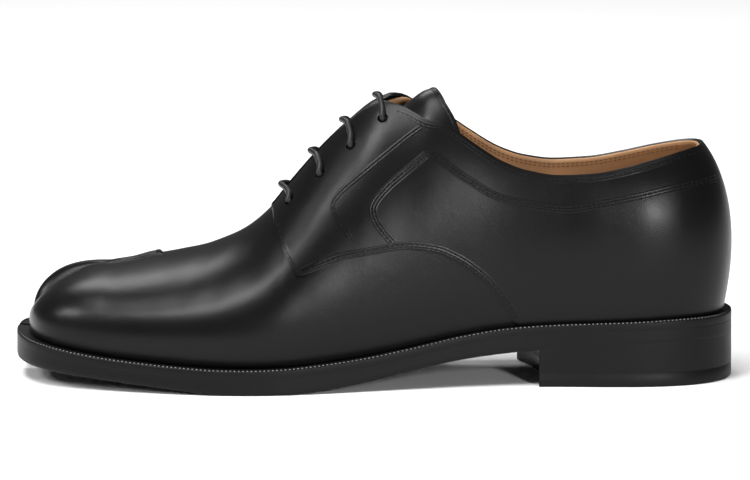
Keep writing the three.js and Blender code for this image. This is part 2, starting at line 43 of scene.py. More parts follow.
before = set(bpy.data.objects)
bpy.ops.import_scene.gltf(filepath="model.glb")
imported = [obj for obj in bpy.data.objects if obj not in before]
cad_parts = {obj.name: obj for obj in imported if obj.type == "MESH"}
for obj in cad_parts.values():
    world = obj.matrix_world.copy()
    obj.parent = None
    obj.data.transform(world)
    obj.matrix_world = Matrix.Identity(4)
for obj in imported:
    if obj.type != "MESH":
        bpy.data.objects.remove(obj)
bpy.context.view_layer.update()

MM = 0.001

# Plan of the sole edge: along is a share of the length, the sides are shares of the ball width
OUTLINE = (
    ("along", "lateral", "medial"),
    (0, 0, 0),
    (0.01, 0.1308, 0.1308),
    (0.0333, 0.2196, 0.2196),
    (0.07, 0.2804, 0.2804),
    (0.12, 0.3131, 0.3112),
    (0.1833, 0.3178, 0.3112),
    (0.25, 0.3112, 0.2944),
    (0.3167, 0.3178, 0.2682),
    (0.3833, 0.3439, 0.2542),
    (0.45, 0.3813, 0.2682),
    (0.5167, 0.4234, 0.3047),
    (0.5833, 0.4673, 0.3738),
    (0.64, 0.4953, 0.4439),
    (0.7, 0.4972, 0.4907),
    (0.76, 0.4766, 0.5047),
    (0.8167, 0.4449, 0.4925),
    (0.8733, 0.4019, 0.4654),
    (0.92, 0.3533, 0.428),
    (0.9533, 0.2972, 0.3785),
    (0.9767, 0.2243, 0.3178),
    (0.9917, 0.1308, 0.243),
    (0.9983, 0.028, 0.1542),
    (1, -0.0561, 0.0561),
)

# Welt top and sole bottom as shares of the instep height
LEVELS = (
    ("along", "welt", "bottom"),
    (0, 0.2347, 0.1517),
    (0.06, 0.2347, 0.1517),
    (0.1467, 0.2271, 0.1449),
    (0.2567, 0.2161, 0.1322),
    (0.3167, 0.2051, 0.1195),
    (0.38, 0.1814, 0.1),
    (0.4467, 0.1466, 0.0678),
    (0.5133, 0.1169, 0.0339),
    (0.5667, 0.1008, 0.0119),
    (0.62, 0.0898, 0),
    (0.6667, 0.0864, 0),
    (0.7133, 0.0873, 0),
    (0.76, 0.0932, 0.0119),
    (0.8167, 0.1034, 0.0263),
    (0.8733, 0.1161, 0.0398),
    (0.92, 0.1314, 0.0508),
    (0.9667, 0.1492, 0.0627),
    (1, 0.161, 0.0703),
)

# Last sections: top height, side shift of the ridge, swell above the feather line, section power
LAST = (
    ("along", "top", "spine", "swell_height", "swell", "power"),
    (0.11, 0.9068, 0, 27, 3.1, 2.1),
    (0.2, 0.911, 0, 27, 3, 2.2),
    (0.2667, 0.9237, -0.0047, 25, 2.6, 2.3),
    (0.3333, 0.9661, -0.014, 22, 2.2, 2.2),
    (0.4167, 1.0381, -0.0234, 19, 2, 2),
    (0.45, 1.0212, -0.028, 18, 2, 1.9),
    (0.4867, 1, -0.028, 17, 2, 1.85),
    (0.5, 0.9881, -0.028, 17, 2, 1.82),
    (0.5367, 0.911, -0.0234, 16, 2, 1.82),
    (0.5767, 0.8034, -0.0187, 15, 2, 1.85),
    (0.62, 0.6695, -0.0047, 14, 2, 1.9),
    (0.6433, 0.5932, 0.0047, 13, 2, 1.95),
    (0.6733, 0.5254, 0.0187, 12, 2, 2),
    (0.7, 0.4864, 0.0327, 11.5, 2, 2.05),
    (0.7333, 0.4517, 0.0514, 11, 1.9, 2.1),
    (0.7767, 0.4237, 0.0748, 10, 1.7, 2.15),
    (0.81, 0.4085, 0.0888, 9, 1.4, 2.2),
    (0.8433, 0.3924, 0.0981, 8, 1.1, 2.3),
    (0.8767, 0.3814, 0.1028, 7, 0.8, 2.4),
    (1, 0.3814, 0.1028, 5, 0.4, 2.5),
)

# Collar line in side view, back to front
COLLAR = (
    ("along", "height"),
    (-0.02, 0.8432),
    (0.0423, 0.8305),
    (0.1067, 0.7966),
    (0.1533, 0.7669),
    (0.2, 0.7458),
    (0.2467, 0.7407),
    (0.29, 0.7568),
    (0.3233, 0.7873),
    (0.3667, 0.8559),
    (0.39, 0.8966),
    (0.408, 0.9195),
    (0.4293, 0.9297),
    (0.4433, 0.9466),
    (0.4613, 0.9678),
    (0.479, 0.9797),
    (0.49, 0.9958),
    (0.5, 1.0339),
)

# Front edge of the quarter in side view, from the feather line up to the throat
QUARTER = (
    ("along", "height"),
    (0.2933, 0.0847),
    (0.31, 0.2322),
    (0.3333, 0.3271),
    (0.3553, 0.3881),
    (0.3867, 0.4458),
    (0.4167, 0.4788),
    (0.4533, 0.4907),
    (0.5027, 0.4754),
    (0.5423, 0.4593),
    (0.5757, 0.4288),
    (0.6033, 0.4085),
    (0.6177, 0.4619),
    (0.6333, 0.5449),
    (0.641, 0.5932),
    (0.6433, 0.661),
)

# Eyelets, and where the lace bar over each pair crosses the middle: shares of the length and the ball width
EYELETS = (
    ("along", "bar", "side"),
    (0.4893, 0.4985, 0.1402),
    (0.5337, 0.5445, 0.1682),
    (0.5763, 0.588, 0.1841),
    (0.619, 0.629, 0.1729),
)

HEEL_CENTRE = 33.0
HEEL_FAN = 70.0
TOE_ROW = 15.0
LAST_ROW = 21.5
TIP_ROWS = {-1: 21.5, 1: 20.8}
TOE_CAP_START = 262.0
TOE_POWER = {-1: 1.7, 1: 2.2}
CLEFT_START = 255.5
CLEFT_OPEN = 263.0
LIP_START = 259.0
LIP_END = 286.0
FLARE_AT = 139.0
CLEFT_ROUND = 9.5
CLEFT_SIDE = 11.0
THROAT = 192.5
THROAT_END = 190.5
VAMP_START = 90.0
QUARTER_END = 192.9
TUCK = 8.0
VAMP_LEATHER = 0.9
QUARTER_LEATHER = 1.9
EDGE_ROUND = 0.35
LINING_INSET = 0.95
LINING_LEATHER = 0.8
LINING_DROP = 0.5
INSOLE_TOP = 0.7
INSOLE_MARGIN = 10.3
FOOT_ROUND = 4.0
SEAM_BACK = 238.0
SEAM_FRONT = 264.0
SEAM_REACH = 4.0
EYELET_RADIUS = 2.2
TONGUE_END = 200.0
TONGUE_SEAT = 196.0
LACED_TOP = 142.0
SLOT_WIDTH = 3.8
SLOT_BACK = 293.0
HEEL_LENGTH = 91.0
BREAST_SKEW = 9.0
BREAST_HOLLOW = 6.0
TOP_PIECE = 6.0
RIB_PITCH = 1.75

# Top edge of the tongue from its middle out, as the share of its half width and of the length
TONGUE_TOP = (
    ("share", "along"),
    (0.0, 0.4153),
    (0.15, 0.4113),
    (0.4, 0.4005),
    (0.65, 0.3845),
    (0.85, 0.3765),
    (1.0, 0.379),
)

# Half width of the tongue, along as a share of the length and side as a share of the ball width
TONGUE_HALF = (
    ("along", "side"),
    (0.37, 0.2243),
    (0.41, 0.2383),
    (0.45, 0.2523),
    (0.55, 0.243),
    (0.6333, 0.2056),
    (0.6667, 0.19),
)

# Creases of the vamp: along, side, heading, width, reach, depth, mm and degrees
CREASES = (
    (224.0, -24.0, 24.0, 4.6, 16.0, 0.14),
    (211.0, -27.0, 16.0, 5.0, 18.0, 0.16),
    (221.0, 20.0, -20.0, 4.8, 18.0, 0.16),
    (207.0, 14.0, -10.0, 5.2, 16.0, 0.12),
)

# Stitch rows of a quarter in side view: along and height, mm
STITCH_ROWS = (
    ("double", (127, 97.2), (125, 95.2), (111, 85.5), (97, 78), (74, 73.9), (60, 75.3), (41.5, 78.7), (23, 82.6),
     (10, 84.3), (6, 84.5)),
    ("double", (127, 97.2), (134, 91.5), (144, 83.3), (150, 76), (149.4, 70.4), (146, 65.2), (141, 59.5)),
    ("single", (129.5, 107.5), (138, 101.5), (156, 87.3), (164.7, 79.8), (167, 75.4), (164.7, 70.4), (158.7, 62)),
)
# Height of the drawn-up leather across a row of stitches: offset and height, mm
SINGLE_ROW = ((-1.3, -0.04), (-0.95, 0.03), (-0.62, 0.1), (-0.36, 0.07), (-0.18, 0.02), (0.0, 0.01), (0.18, 0.02),
              (0.36, 0.07), (0.62, 0.1), (0.95, 0.03), (1.3, -0.04))
TWIN_ROWS = ((-1.9, -0.04), (-1.55, 0.03), (-1.24, 0.1), (-0.98, 0.07), (-0.8, 0.02), (-0.62, 0.01), (-0.44, 0.02),
             (-0.2, 0.08), (0.0, 0.1), (0.2, 0.08), (0.44, 0.02), (0.62, 0.01), (0.8, 0.02), (0.98, 0.07),
             (1.24, 0.1), (1.55, 0.03), (1.9, -0.04))
EDGE_ROW = ((-0.85, -0.04), (-0.6, 0.06), (-0.36, 0.07), (-0.18, 0.02), (0.0, 0.01), (0.18, 0.02), (0.36, 0.07),
            (0.62, 0.1), (0.95, 0.03), (1.3, -0.04))
EDGE_TWINS = ((-1.2, -0.04), (-0.98, 0.06), (-0.8, 0.02), (-0.62, 0.01), (-0.44, 0.02), (-0.2, 0.08), (0.0, 0.1),
              (0.2, 0.08), (0.44, 0.02), (0.62, 0.01), (0.8, 0.02), (0.98, 0.07), (1.24, 0.1), (1.55, 0.03),
              (1.9, -0.04))
PROFILES = {"single": SINGLE_ROW, "double": TWIN_ROWS, "edge": EDGE_ROW, "edge pair": EDGE_TWINS}
# Height of the pinched toe seam across it, as shares of its reach and of its height
SEAM_SHAPE = ((-0.62, 0.0), (-0.5, 0.18), (-0.4, 0.42), (-0.31, 0.52), (-0.24, 0.46), (-0.17, 0.26), (-0.1, 0.2),
              (-0.04, 0.32), (0.03, 0.66), (0.1, 0.92), (0.17, 1.0), (0.25, 0.93), (0.34, 0.66), (0.46, 0.3),
              (0.6, 0.06), (0.72, 0.0))
# Folded rim of the tongue: distance from its top edge and height, mm
TONGUE_RIM = ((-0.12, -0.4), (-0.1, 0.05), (0.15, 0.27), (0.6, 0.34), (1.05, 0.2), (1.3, 0.2), (1.6, 0.3),
              (1.9, 0.18), (2.1, -0.05))
TACK_FROM = (179.3, 51.2)
TACK_TO = (173.2, 53.8)

# Studio lights: name, kind, place, aim, size in metres or degrees, power
LIGHTS = (
    ("sky", "SUN", (-0.2, -0.25, 1.6), (0.0, 0.0, 0.0), (30.0,), 2.3),
    ("left", "AREA", (-1.23, -0.45, 0.92), (0.0, 0.0, 0.05), (0.4, 0.4), 12.0),
    ("front", "AREA", (-0.53, -0.75, 1.31), (0.0, 0.0, 0.05), (0.4, 0.4), 13.0),
    ("right", "AREA", (0.62, -1.45, 0.45), (0.1, 0.0, 0.05), (0.16, 0.24), 12.0),
    ("back", "AREA", (-0.3, 1.0, 1.15), (0.0, 0.0, 0.08), (0.7, 0.5), 7.0),
)
CAMERA_LENS = 207.0
CAMERA_TILT = 9.0
CAMERA_DISTANCE = 1.8
CAMERA_AIM = (0.0005, 0.0, 0.0561)
LATERAL = -1
MEDIAL = 1


def smooth(t):
    """Ease from 0 to 1."""
    c = min(1.0, max(0.0, t))
    return c * c * (3.0 - 2.0 * c)


def column(table, name, scale, length):
    """Monotone cubic through one named column of a table."""
    place = table[0].index(name)
    x = [row[0] * length for row in table[1:]]
    y = [row[place] * scale for row in table[1:]]
    n = len(x)
    step = [(y[i + 1] - y[i]) / (x[i + 1] - x[i]) for i in range(n - 1)]
    slope = [step[0]]
    for i in range(1, n - 1):
        if step[i - 1] * step[i] <= 0:
            slope.append(0.0)
            continue
        a = 2 * (x[i + 1] - x[i]) + (x[i] - x[i - 1])
        b = (x[i + 1] - x[i]) + 2 * (x[i] - x[i - 1])
        slope.append((a + b) / (a / step[i - 1] + b / step[i]))
    slope.append(step[-1])

    def value(s):
        c = min(x[-1], max(x[0], s))
        i = 0
        while i < n - 2 and c > x[i + 1]:
            i += 1
        h = x[i + 1] - x[i]
        t = (c - x[i]) / h
        a = (1 + 2 * t) * (1 - t) ** 2 * y[i] + t * (1 - t) ** 2 * h * slope[i]
        return a + t * t * (3 - 2 * t) * y[i + 1] + t * t * (t - 1) * h * slope[i + 1]

    return value


class Last:
    """The shape that the shoe is made over, in mm: along from the heel back, side and height."""

    def __init__(self, sizes):
        self.sizes = sizes
        length = sizes.length / MM
        ball = sizes.ball_width / MM
        instep = sizes.instep_height / MM
        self.length = length
        self.ball = ball
        self.leather = sizes.leather / MM
        self.lift = sizes.quarter_lift / MM
        self.gap = sizes.cleft_gap / MM
        self.seat = sizes.seat_gap / MM
        self.welt_top = column(LEVELS, "welt", instep, length)
        self.sole_bottom = column(LEVELS, "bottom", instep, length)
        self.top = column(LAST, "top", instep, length)
        self.spine = column(LAST, "spine", ball, length)
        self.swell_height = column(LAST, "swell_height", 1.0, length)
        self.swell = column(LAST, "swell", 1.0, length)
        self.power = column(LAST, "power", 1.0, length)
        self.collar = column(COLLAR, "height", instep, length)
        self.quarter_front = column(QUARTER, "height", instep, length)
        rows = OUTLINE[1:]
        loop = [(row[0] * length, -row[1] * ball) for row in rows[:-1]]
        loop += [(row[0] * length, row[2] * ball) for row in reversed(rows[1:])]
        self.loop = np.array(loop)
        self.rows = len(rows) - 1
        self.edge = functools.lru_cache(None)(self._edge)
        self.half = functools.lru_cache(None)(self._half)
        self.section = functools.lru_cache(None)(self._section)
        low = min(self.edge(LATERAL, r / 4, 0.1)[1] for r in range(4 * self.rows))
        high = max(self.edge(MEDIAL, r / 4, 0.1)[1] for r in range(4 * self.rows))
        self.shift = (low + high) / 2

    def plan(self, t):
        """Centripetal curve through the outline rows, closed, with t from 0 to 1."""
        points = self.loop
        n = len(points)
        p = (t % 1.0) * n
        k = int(math.floor(p))
        w = p - k
        p0, p1, p2, p3 = (points[(k + i - 1) % n] for i in range(4))
        dt0, dt1, dt2 = (max(1e-4, float(np.dot(d, d)) ** 0.25) for d in (p1 - p0, p2 - p1, p3 - p2))
        t1 = ((p1 - p0) / dt0 - (p2 - p0) / (dt0 + dt1) + (p2 - p1) / dt1) * dt1
        t2 = ((p2 - p1) / dt1 - (p3 - p1) / (dt1 + dt2) + (p3 - p2) / dt2) * dt1
        bend = (-3 * p1 + 3 * p2 - 2 * t1 - t2) * w * w + (2 * p1 - 2 * p2 + t1 + t2) * w ** 3
        return p1 + t1 * w + bend

    def _edge(self, side, row, margin):
        """Outline point of a side at a row number, moved in by a margin."""
        t = (row if side < 0 else 2 * self.rows - row) / (2 * self.rows)
        point = self.plan(t)
        way = self.plan(t + 1e-4) - self.plan(t - 1e-4)
        way = way / np.linalg.norm(way)
        return point[0] - way[1] * margin, point[1] + way[0] * margin

    def feather(self, s):
        """Height of the line where the upper meets the welt."""
        return self.welt_top(s) + self.seat

    def _half(self, side, row, inset):
        """Foot, widest point, ridge and cleft bottom of half a section."""
        r = row
        if row > TOE_ROW:
            r = TOE_ROW + (row - TOE_ROW) * (TIP_ROWS[side] - TOE_ROW) / (LAST_ROW - TOE_ROW)
        base = self.edge(side, r, 0.0)[0]
        heel = self.sizes.heel_margin / MM
        toe = self.sizes.feather_margin / MM
        margin = heel + (toe - heel) * smooth((base - 60) / 100) + inset
        foot = Vector(self.edge(side, r, margin))
        wide = Vector(self.edge(side, r, margin - self.swell(base)))
        tip = Vector(self.edge(side, TIP_ROWS[side], margin - self.swell(self.length)))
        wide_height = self.feather(foot.x) + self.swell_height(base)
        along = wide.x
        if base < HEEL_FAN:
            t = base / HEEL_FAN
            along = HEEL_CENTRE + (HEEL_FAN - HEEL_CENTRE) * (t * t * (3 - 2 * t))
            along = max(HEEL_CENTRE, along + t * t * (t - 1) * HEEL_FAN * 0.6)
        elif row < TOE_ROW:
            along = (self.edge(-1, row, margin)[0] + self.edge(1, row, margin)[0]) / 2
        ridge = Vector((along, self.spine(along)))
        bottom = ridge.copy()
        height = self.top(along) - inset
        depth = 0.0
        if row > TOE_ROW:
            start = CLEFT_START - inset
            opened = smooth((wide.x - start) / (CLEFT_OPEN - CLEFT_START))
            gap = opened * (self.gap / 2 + inset)
            q = min(1.0, max(0.0, (wide.x - tip.x + CLEFT_ROUND) / CLEFT_ROUND))
            inner = ridge.y + side * gap
            bottom.y = inner + (tip.y - inner) * (1 - math.sqrt(1 - q * q))
            turned = smooth((wide.x - LIP_START) / (LIP_END - LIP_START))
            share = min(0.42, CLEFT_ROUND / max(1.0, abs(wide.y - bottom.y)))
            ridge.y = bottom.y + (wide.y - bottom.y) * share * turned
            fall = min(1.0, max(0.0, (wide.x - TOE_CAP_START) / (tip.x - TOE_CAP_START)))
            drop = max(0.0, 1 - fall ** TOE_POWER[side]) ** (1 / TOE_POWER[side])
            height = wide_height + (height - wide_height) * drop
            depth = opened * (height - self.feather(wide.x) + 2)
        return foot, wide, ridge, bottom, wide_height, height, depth, self.power(base)

    def _section(self, side, row, inset):
        """Points of half a section from the foot to the ridge and down the cleft, with their shares of its length."""
        foot, wide, ridge, bottom, wide_height, height, depth, bend = self.half(side, row, inset)
        low = self.welt_top(foot.x)
        points = []
        for i in range(8):
            at = foot.lerp(wide, math.sin(i / 8 * math.pi / 2))
            points.append((at.x, at.y, low + (wide_height - low) * i / 8))
        for i in range(48):
            angle = i / 48 * math.pi / 2
            out = max(0.0, math.cos(angle)) ** (2 / bend)
            up = math.sin(angle) ** (2 / bend)
            at = ridge.lerp(wide, out)
            points.append((at.x, at.y, wide_height + (height - wide_height) * up))
        for i in range(17):
            angle = i / 16 * math.pi / 2
            at = ridge.lerp(bottom, math.sin(angle))
            points.append((at.x, at.y, height - depth * (1 - math.cos(angle))))
        points = np.array(points)
        run = np.concatenate([[0], np.cumsum(np.linalg.norm(np.diff(points, axis=0), axis=1))])
        return points, run / run[-1]

    def point(self, side, row, share, inset):
        """Point of the surface at a share of a half section's length."""
        points, run = self.section(side, round(row, 5), inset)
        return Vector([float(np.interp(share, run, points[:, k])) for k in range(3)])

    def share_at_height(self, side, row, inset, height):
        """Share of a half section where it reaches a height, which may depend on the distance along."""
        points, run = self.section(side, round(row, 5), inset)
        last = 0.0
        for i in range(len(run)):
            gap = points[i][2] - height(points[i][0])
            if gap >= 0:
                if i == 0:
                    return 0.0
                return float(run[i - 1] + (run[i] - run[i - 1]) * -last / (gap - last))
            last = gap
            if i and points[i][2] < points[i - 1][2] - 1e-6:
                break
        return 1.0

    def share_at_side(self, side, row, inset, offset):
        """Share of a half section that lies a distance to the side of the ridge."""
        points, run = self.section(side, round(row, 5), inset)
        away = np.abs(points[:, 1] - self.spine(points[-1][0]))
        for i in range(8, len(run)):
            if away[i] <= offset:
                t = (away[i - 1] - offset) / max(1e-9, away[i - 1] - away[i])
                return float(run[i - 1] + (run[i] - run[i - 1]) * min(1.0, t))
        return 1.0

    def ridge_at(self, side, row):
        """Distance along of a section's ridge."""
        return self.half(side, round(row, 5), 0.0)[2].x

    def normal(self, s, offset):
        """Way out of the raised quarter above a plan point."""
        a = self.over(s - 0.8, offset, -self.lift)
        b = self.over(s + 0.8, offset, -self.lift)
        c = self.over(s, offset - 0.8, -self.lift)
        d = self.over(s, offset + 0.8, -self.lift)
        way = (self.spot(b) - self.spot(a)).cross(self.spot(d) - self.spot(c)).normalized()
        return way if way.z > 0 else -way

    def tongue_inset(self, s):
        """Depth of the tongue below the last's surface, with room for the lace where it is laced."""
        laced = smooth((TONGUE_SEAT - s) / 14) * smooth((s - LACED_TOP + 14) / 14)
        return self.leather + self.seat + 2.7 * laced + 3.2 * math.exp(-((s - 139.0) / 7.5) ** 2)

    def row_at(self, s, side=-1):
        """Row number whose ridge lies a distance along."""
        low, high = 0.0, LAST_ROW
        for _ in range(30):
            mid = (low + high) / 2
            if self.half(side, round(mid, 5), 0.0)[2].x < s:
                low = mid
            else:
                high = mid
        return (low + high) / 2

    def over(self, s, offset, inset):
        """Point of the surface above a plan point in the middle of the shoe, offset from the ridge."""
        side = LATERAL if offset < 0 else MEDIAL
        row = round(self.row_at(s, side), 5)
        return self.point(side, row, self.share_at_side(side, row, inset, abs(offset)), inset)

    def throat_side(self, s):
        """Half the gap between the facings."""
        wide = self.sizes.collar_gap / MM
        narrow = self.sizes.throat_gap / MM
        return (wide + (narrow - wide) * (s - 146) / (THROAT - 146)) / 2

    def spot(self, point):
        """A point of the last as a place in the frame, in metres."""
        return Vector((self.length / 2 - point[0], point[1] - self.shift, point[2])) * MM


@functools.lru_cache(None)
def last_for(key):
    """The last for one set of sizes, kept so that every piece reads the same one."""
    return Last(bpy.context.scene.derby_sizes)


def the_last(context):
    """The last for the sizes now set in the panel."""
    sizes = context.scene.derby_sizes
    names = [p.identifier for p in sizes.bl_rna.properties if p.type == "FLOAT"]
    return last_for(tuple(getattr(sizes, name) for name in names))


def spread(start, end, count):
    """Evenly spaced numbers, both ends included."""
    return [start + (end - start) * i / (count - 1) for i in range(count)]


def mapped_grid(bm, across, up, place):
    """A grid of faces whose point i, j goes to the place given for it."""
    made = bmesh.ops.create_grid(bm, x_segments=across - 1, y_segments=up - 1, size=0.5)
    xs = {x: i for i, x in enumerate(sorted({round(v.co.x, 5) for v in made["verts"]}))}
    ys = {y: j for j, y in enumerate(sorted({round(v.co.y, 5) for v in made["verts"]}))}
    for v in made["verts"]:
        v.co = place(xs[round(v.co.x, 5)], ys[round(v.co.y, 5)])
    return made["verts"]


def finish_mesh(name, bm, material, slot):
    """Turn a bmesh into a smooth object that rides on the shoe."""
    mesh = bpy.data.meshes.new(name)
    for face in bm.faces:
        face.smooth = True
    bm.to_mesh(mesh)
    bm.free()
    obj = bpy.data.objects.new(name, mesh)
    bpy.context.collection.objects.link(obj)
    mesh.materials.append(material)
    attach(obj, "root")
    return obj


def settle(obj):
    """Replace a mesh by what its modifiers make of it."""
    graph = bpy.context.evaluated_depsgraph_get()
    mesh = bpy.data.meshes.new_from_object(obj.evaluated_get(graph))
    obj.modifiers.clear()
    obj.data = mesh
    return obj


def thicken(obj, thickness):
    """Give a surface the thickness of its leather."""
    wall = obj.modifiers.new("Wall", "SOLIDIFY")
    wall.thickness = thickness
    wall.offset = -1.0
    return obj


def soften(obj, width, segments=2, angle=50):
    """Round the cut edges of a piece."""
    rim = obj.modifiers.new("Edge", "BEVEL")
    rim.width = width
    rim.segments = segments
    rim.limit_method = "ANGLE"
    rim.angle_limit = math.radians(angle)
    return obj


def cut(obj, cutter):
    """Take a cutter out of a piece and remove the cutter."""
    step = obj.modifiers.new("Cut", "BOOLEAN")
    step.operation = "DIFFERENCE"
    step.object = cutter
    step.solver = "EXACT"
    settle(obj)
    bpy.data.objects.remove(cutter)
    return obj


def leather_half(bm, last, side, rows, low, high, columns, inset):
    """Half of a leather piece, between two edges given as shares of each section."""
    ends = [(low(side, row), high(side, row)) for row in rows]

    def place(i, j):
        share = ends[i][0] + (ends[i][1] - ends[i][0]) * j / (columns - 1)
        depth = inset(side, rows[i], share) if callable(inset) else inset
        return last.spot(last.point(side, rows[i], share, depth))

    verts = mapped_grid(bm, len(rows), columns, place)
    faces = {face for v in verts for face in v.link_faces}
    if side == MEDIAL:
        bmesh.ops.reverse_faces(bm, faces=list(faces))
    return verts


# Material of each finish


def new_material(name, colour):
    """A material with its principled shader, coordinates and colour."""
    material = bpy.data.materials.new(name)
    material.use_nodes = True
    nodes = material.node_tree.nodes
    shader = nodes["Principled BSDF"]
    shader.inputs["Base Color"].default_value = (*colour, 1.0)
    coordinates = nodes.new("ShaderNodeTexCoord")
    return material, shader, coordinates


def link(material, source, target):
    material.node_tree.links.new(source, target)


def noise_into(material, coordinates, scale, detail=3.0, roughness=0.5, stretch=None):
    """A noise texture in the piece's own coordinates."""
    nodes = material.node_tree.nodes
    noise = nodes.new("ShaderNodeTexNoise")
    noise.inputs["Scale"].default_value = scale
    noise.inputs["Detail"].default_value = detail
    noise.inputs["Roughness"].default_value = roughness
    source = coordinates.outputs["Object"]
    if stretch:
        mapping = nodes.new("ShaderNodeMapping")
        mapping.inputs["Scale"].default_value = stretch
        link(material, source, mapping.inputs["Vector"])
        source = mapping.outputs["Vector"]
    link(material, source, noise.inputs["Vector"])
    return noise


def spread_value(material, source, low, high):
    """A value from 0 to 1 mapped between two limits."""
    step = material.node_tree.nodes.new("ShaderNodeMapRange")
    step.inputs["To Min"].default_value = low
    step.inputs["To Max"].default_value = high
    link(material, source, step.inputs["Value"])
    return step.outputs["Result"]


def bump_from(material, shader, layers):
    """Bumps one over the other, each a height source, a strength and a depth in metres."""
    last = None
    for source, strength, depth in layers:
        bump = material.node_tree.nodes.new("ShaderNodeBump")
        bump.inputs["Strength"].default_value = strength
        bump.inputs["Distance"].default_value = depth
        link(material, source, bump.inputs["Height"])
        if last:
            link(material, last.outputs["Normal"], bump.inputs["Normal"])
        last = bump
    link(material, last.outputs["Normal"], shader.inputs["Normal"])
    return last


@functools.lru_cache(None)
def calf_leather(colour):
    """Black polished calf: fine grain pores, a soft uneven polish and a clear coat."""
    material, shader, where = new_material("black_calf", colour)
    polish = noise_into(material, where, 55.0, 3.0)
    link(material, spread_value(material, polish.outputs["Fac"], 0.25, 0.38), shader.inputs["Roughness"])
    shader.inputs["Specular IOR Level"].default_value = 0.15
    shader.inputs["Coat Weight"].default_value = 0.05
    shader.inputs["Coat Roughness"].default_value = 0.22
    grain = material.node_tree.nodes.new("ShaderNodeTexVoronoi")
    grain.feature = "DISTANCE_TO_EDGE"
    grain.inputs["Scale"].default_value = 1300.0
    link(material, where.outputs["Object"], grain.inputs["Vector"])
    hide = noise_into(material, where, 140.0, 2.0)
    pores = noise_into(material, where, 2400.0, 2.0)
    bump_from(material, shader, [
        (hide.outputs["Fac"], 0.28, 0.0003),
        (pores.outputs["Fac"], 0.55, 0.00008),
        (grain.outputs["Distance"], 0.3, 0.0001),
    ])
    return material


@functools.lru_cache(None)
def edge_leather(colour):
    """Black dyed and waxed sole leather with faint layers."""
    material, shader, where = new_material("sole_edge", colour)
    wax = noise_into(material, where, 90.0, 3.0)
    link(material, spread_value(material, wax.outputs["Fac"], 0.38, 0.55), shader.inputs["Roughness"])
    layers = noise_into(material, where, 90.0, 2.0, stretch=(1.0, 1.0, 14.0))
    bump_from(material, shader, [(layers.outputs["Fac"], 0.12, 0.0002)])
    shader.inputs["Specular IOR Level"].default_value = 0.15
    return material


@functools.lru_cache(None)
def tan_leather(colour):
    """Natural lining leather with soft colour variation."""
    material, shader, where = new_material("tan_leather", colour)
    tone = noise_into(material, where, 60.0, 4.0)
    ramp = material.node_tree.nodes.new("ShaderNodeValToRGB")
    dark = tuple(c * 0.8 for c in colour)
    light = tuple(min(1.0, c * 1.15) for c in colour)
    ramp.color_ramp.elements[0].color = (*dark, 1.0)
    ramp.color_ramp.elements[0].position = 0.3
    ramp.color_ramp.elements[1].color = (*light, 1.0)
    ramp.color_ramp.elements[1].position = 0.7
    link(material, tone.outputs["Fac"], ramp.inputs["Fac"])
    link(material, ramp.outputs["Color"], shader.inputs["Base Color"])
    shader.inputs["Roughness"].default_value = 0.6
    grain = noise_into(material, where, 900.0, 2.0)
    bump_from(material, shader, [(grain.outputs["Fac"], 0.2, 0.0001)])
    return material


@functools.lru_cache(None)
def waxed_cord(colour):
    """Waxed cotton lace with a fine twisted weave."""
    material, shader, where = new_material("lace_cord", colour)
    shader.inputs["Roughness"].default_value = 0.42
    shader.inputs["Specular IOR Level"].default_value = 0.3
    weave = material.node_tree.nodes.new("ShaderNodeTexWave")
    weave.bands_direction = "DIAGONAL"
    weave.inputs["Scale"].default_value = 420.0
    weave.inputs["Distortion"].default_value = 1.5
    link(material, where.outputs["Object"], weave.inputs["Vector"])
    bump_from(material, shader, [(weave.outputs["Fac"], 0.4, 0.00015)])
    return material


@functools.lru_cache(None)
def thread(colour, name):
    """Waxed sewing thread."""
    material, shader, where = new_material(name, colour)
    shader.inputs["Roughness"].default_value = 0.5
    shader.inputs["Specular IOR Level"].default_value = 0.2
    twist = noise_into(material, where, 2500.0, 1.0)
    bump_from(material, shader, [(twist.outputs["Fac"], 0.3, 0.00005)])
    return material


def colours(context):
    return context.scene.derby_colours


# Pieces of the upper


def quarter_low(last, side, row, inset):
    """Share of a section where the quarter starts, at the welt or at its front edge."""
    if last.ridge_at(side, row) < 60:
        return 0.0
    return last.share_at_height(side, row, inset, last.quarter_front)


def quarter_high(last, side, row, inset, drop=0.0):
    """Share of a section where the quarter ends, at the collar or at the facing."""
    top = last.share_at_height(side, row, inset, lambda s: last.collar(s) - drop)
    s = last.ridge_at(side, row)
    if s < 120:
        return top
    return min(top, last.share_at_side(side, row, inset, last.throat_side(s) + drop))


def vamp_high(last, side, row):
    """Share of a section where the vamp ends, tucked behind the quarter's front edge."""
    s = last.ridge_at(side, row)
    if s > THROAT_END:
        return 1.0
    behind = last.share_at_height(side, row, 0.0, lambda x: last.quarter_front(x) + TUCK)
    facing = last.share_at_side(side, row, 0.0, last.throat_side(s) + 3.0)
    return min(behind, facing)


def outward(bm, centre):
    """Turn a shell's faces away from a point inside it."""
    bm.normal_update()
    total = sum((face.calc_center_median() - centre).dot(face.normal) * face.calc_area() for face in bm.faces)
    if total < 0:
        bmesh.ops.reverse_faces(bm, faces=bm.faces)
    bm.normal_update()


def crease(at, along, side, heading, width, reach, depth):
    """Soft fold: a trough with a ridge behind it, along a line across the vamp."""
    turn = math.radians(heading)
    ahead = (at[0] - along) * math.cos(turn) + (at[1] - side) * math.sin(turn)
    aside = -(at[0] - along) * math.sin(turn) + (at[1] - side) * math.cos(turn)
    fade = math.exp(-(aside / reach) ** 2)
    trough = math.exp(-(ahead / width) ** 2)
    ridge = math.exp(-((ahead - 1.8 * width) / width) ** 2)
    return depth * fade * (0.55 * ridge - trough)


def vamp_relief(last, co):
    """How far the vamp stands out at a place, in mm: creases where the foot bends."""
    s, y = last.length / 2 - co.x / MM, co.y / MM + last.shift
    return sum(crease((s, y), *fold) for fold in CREASES)


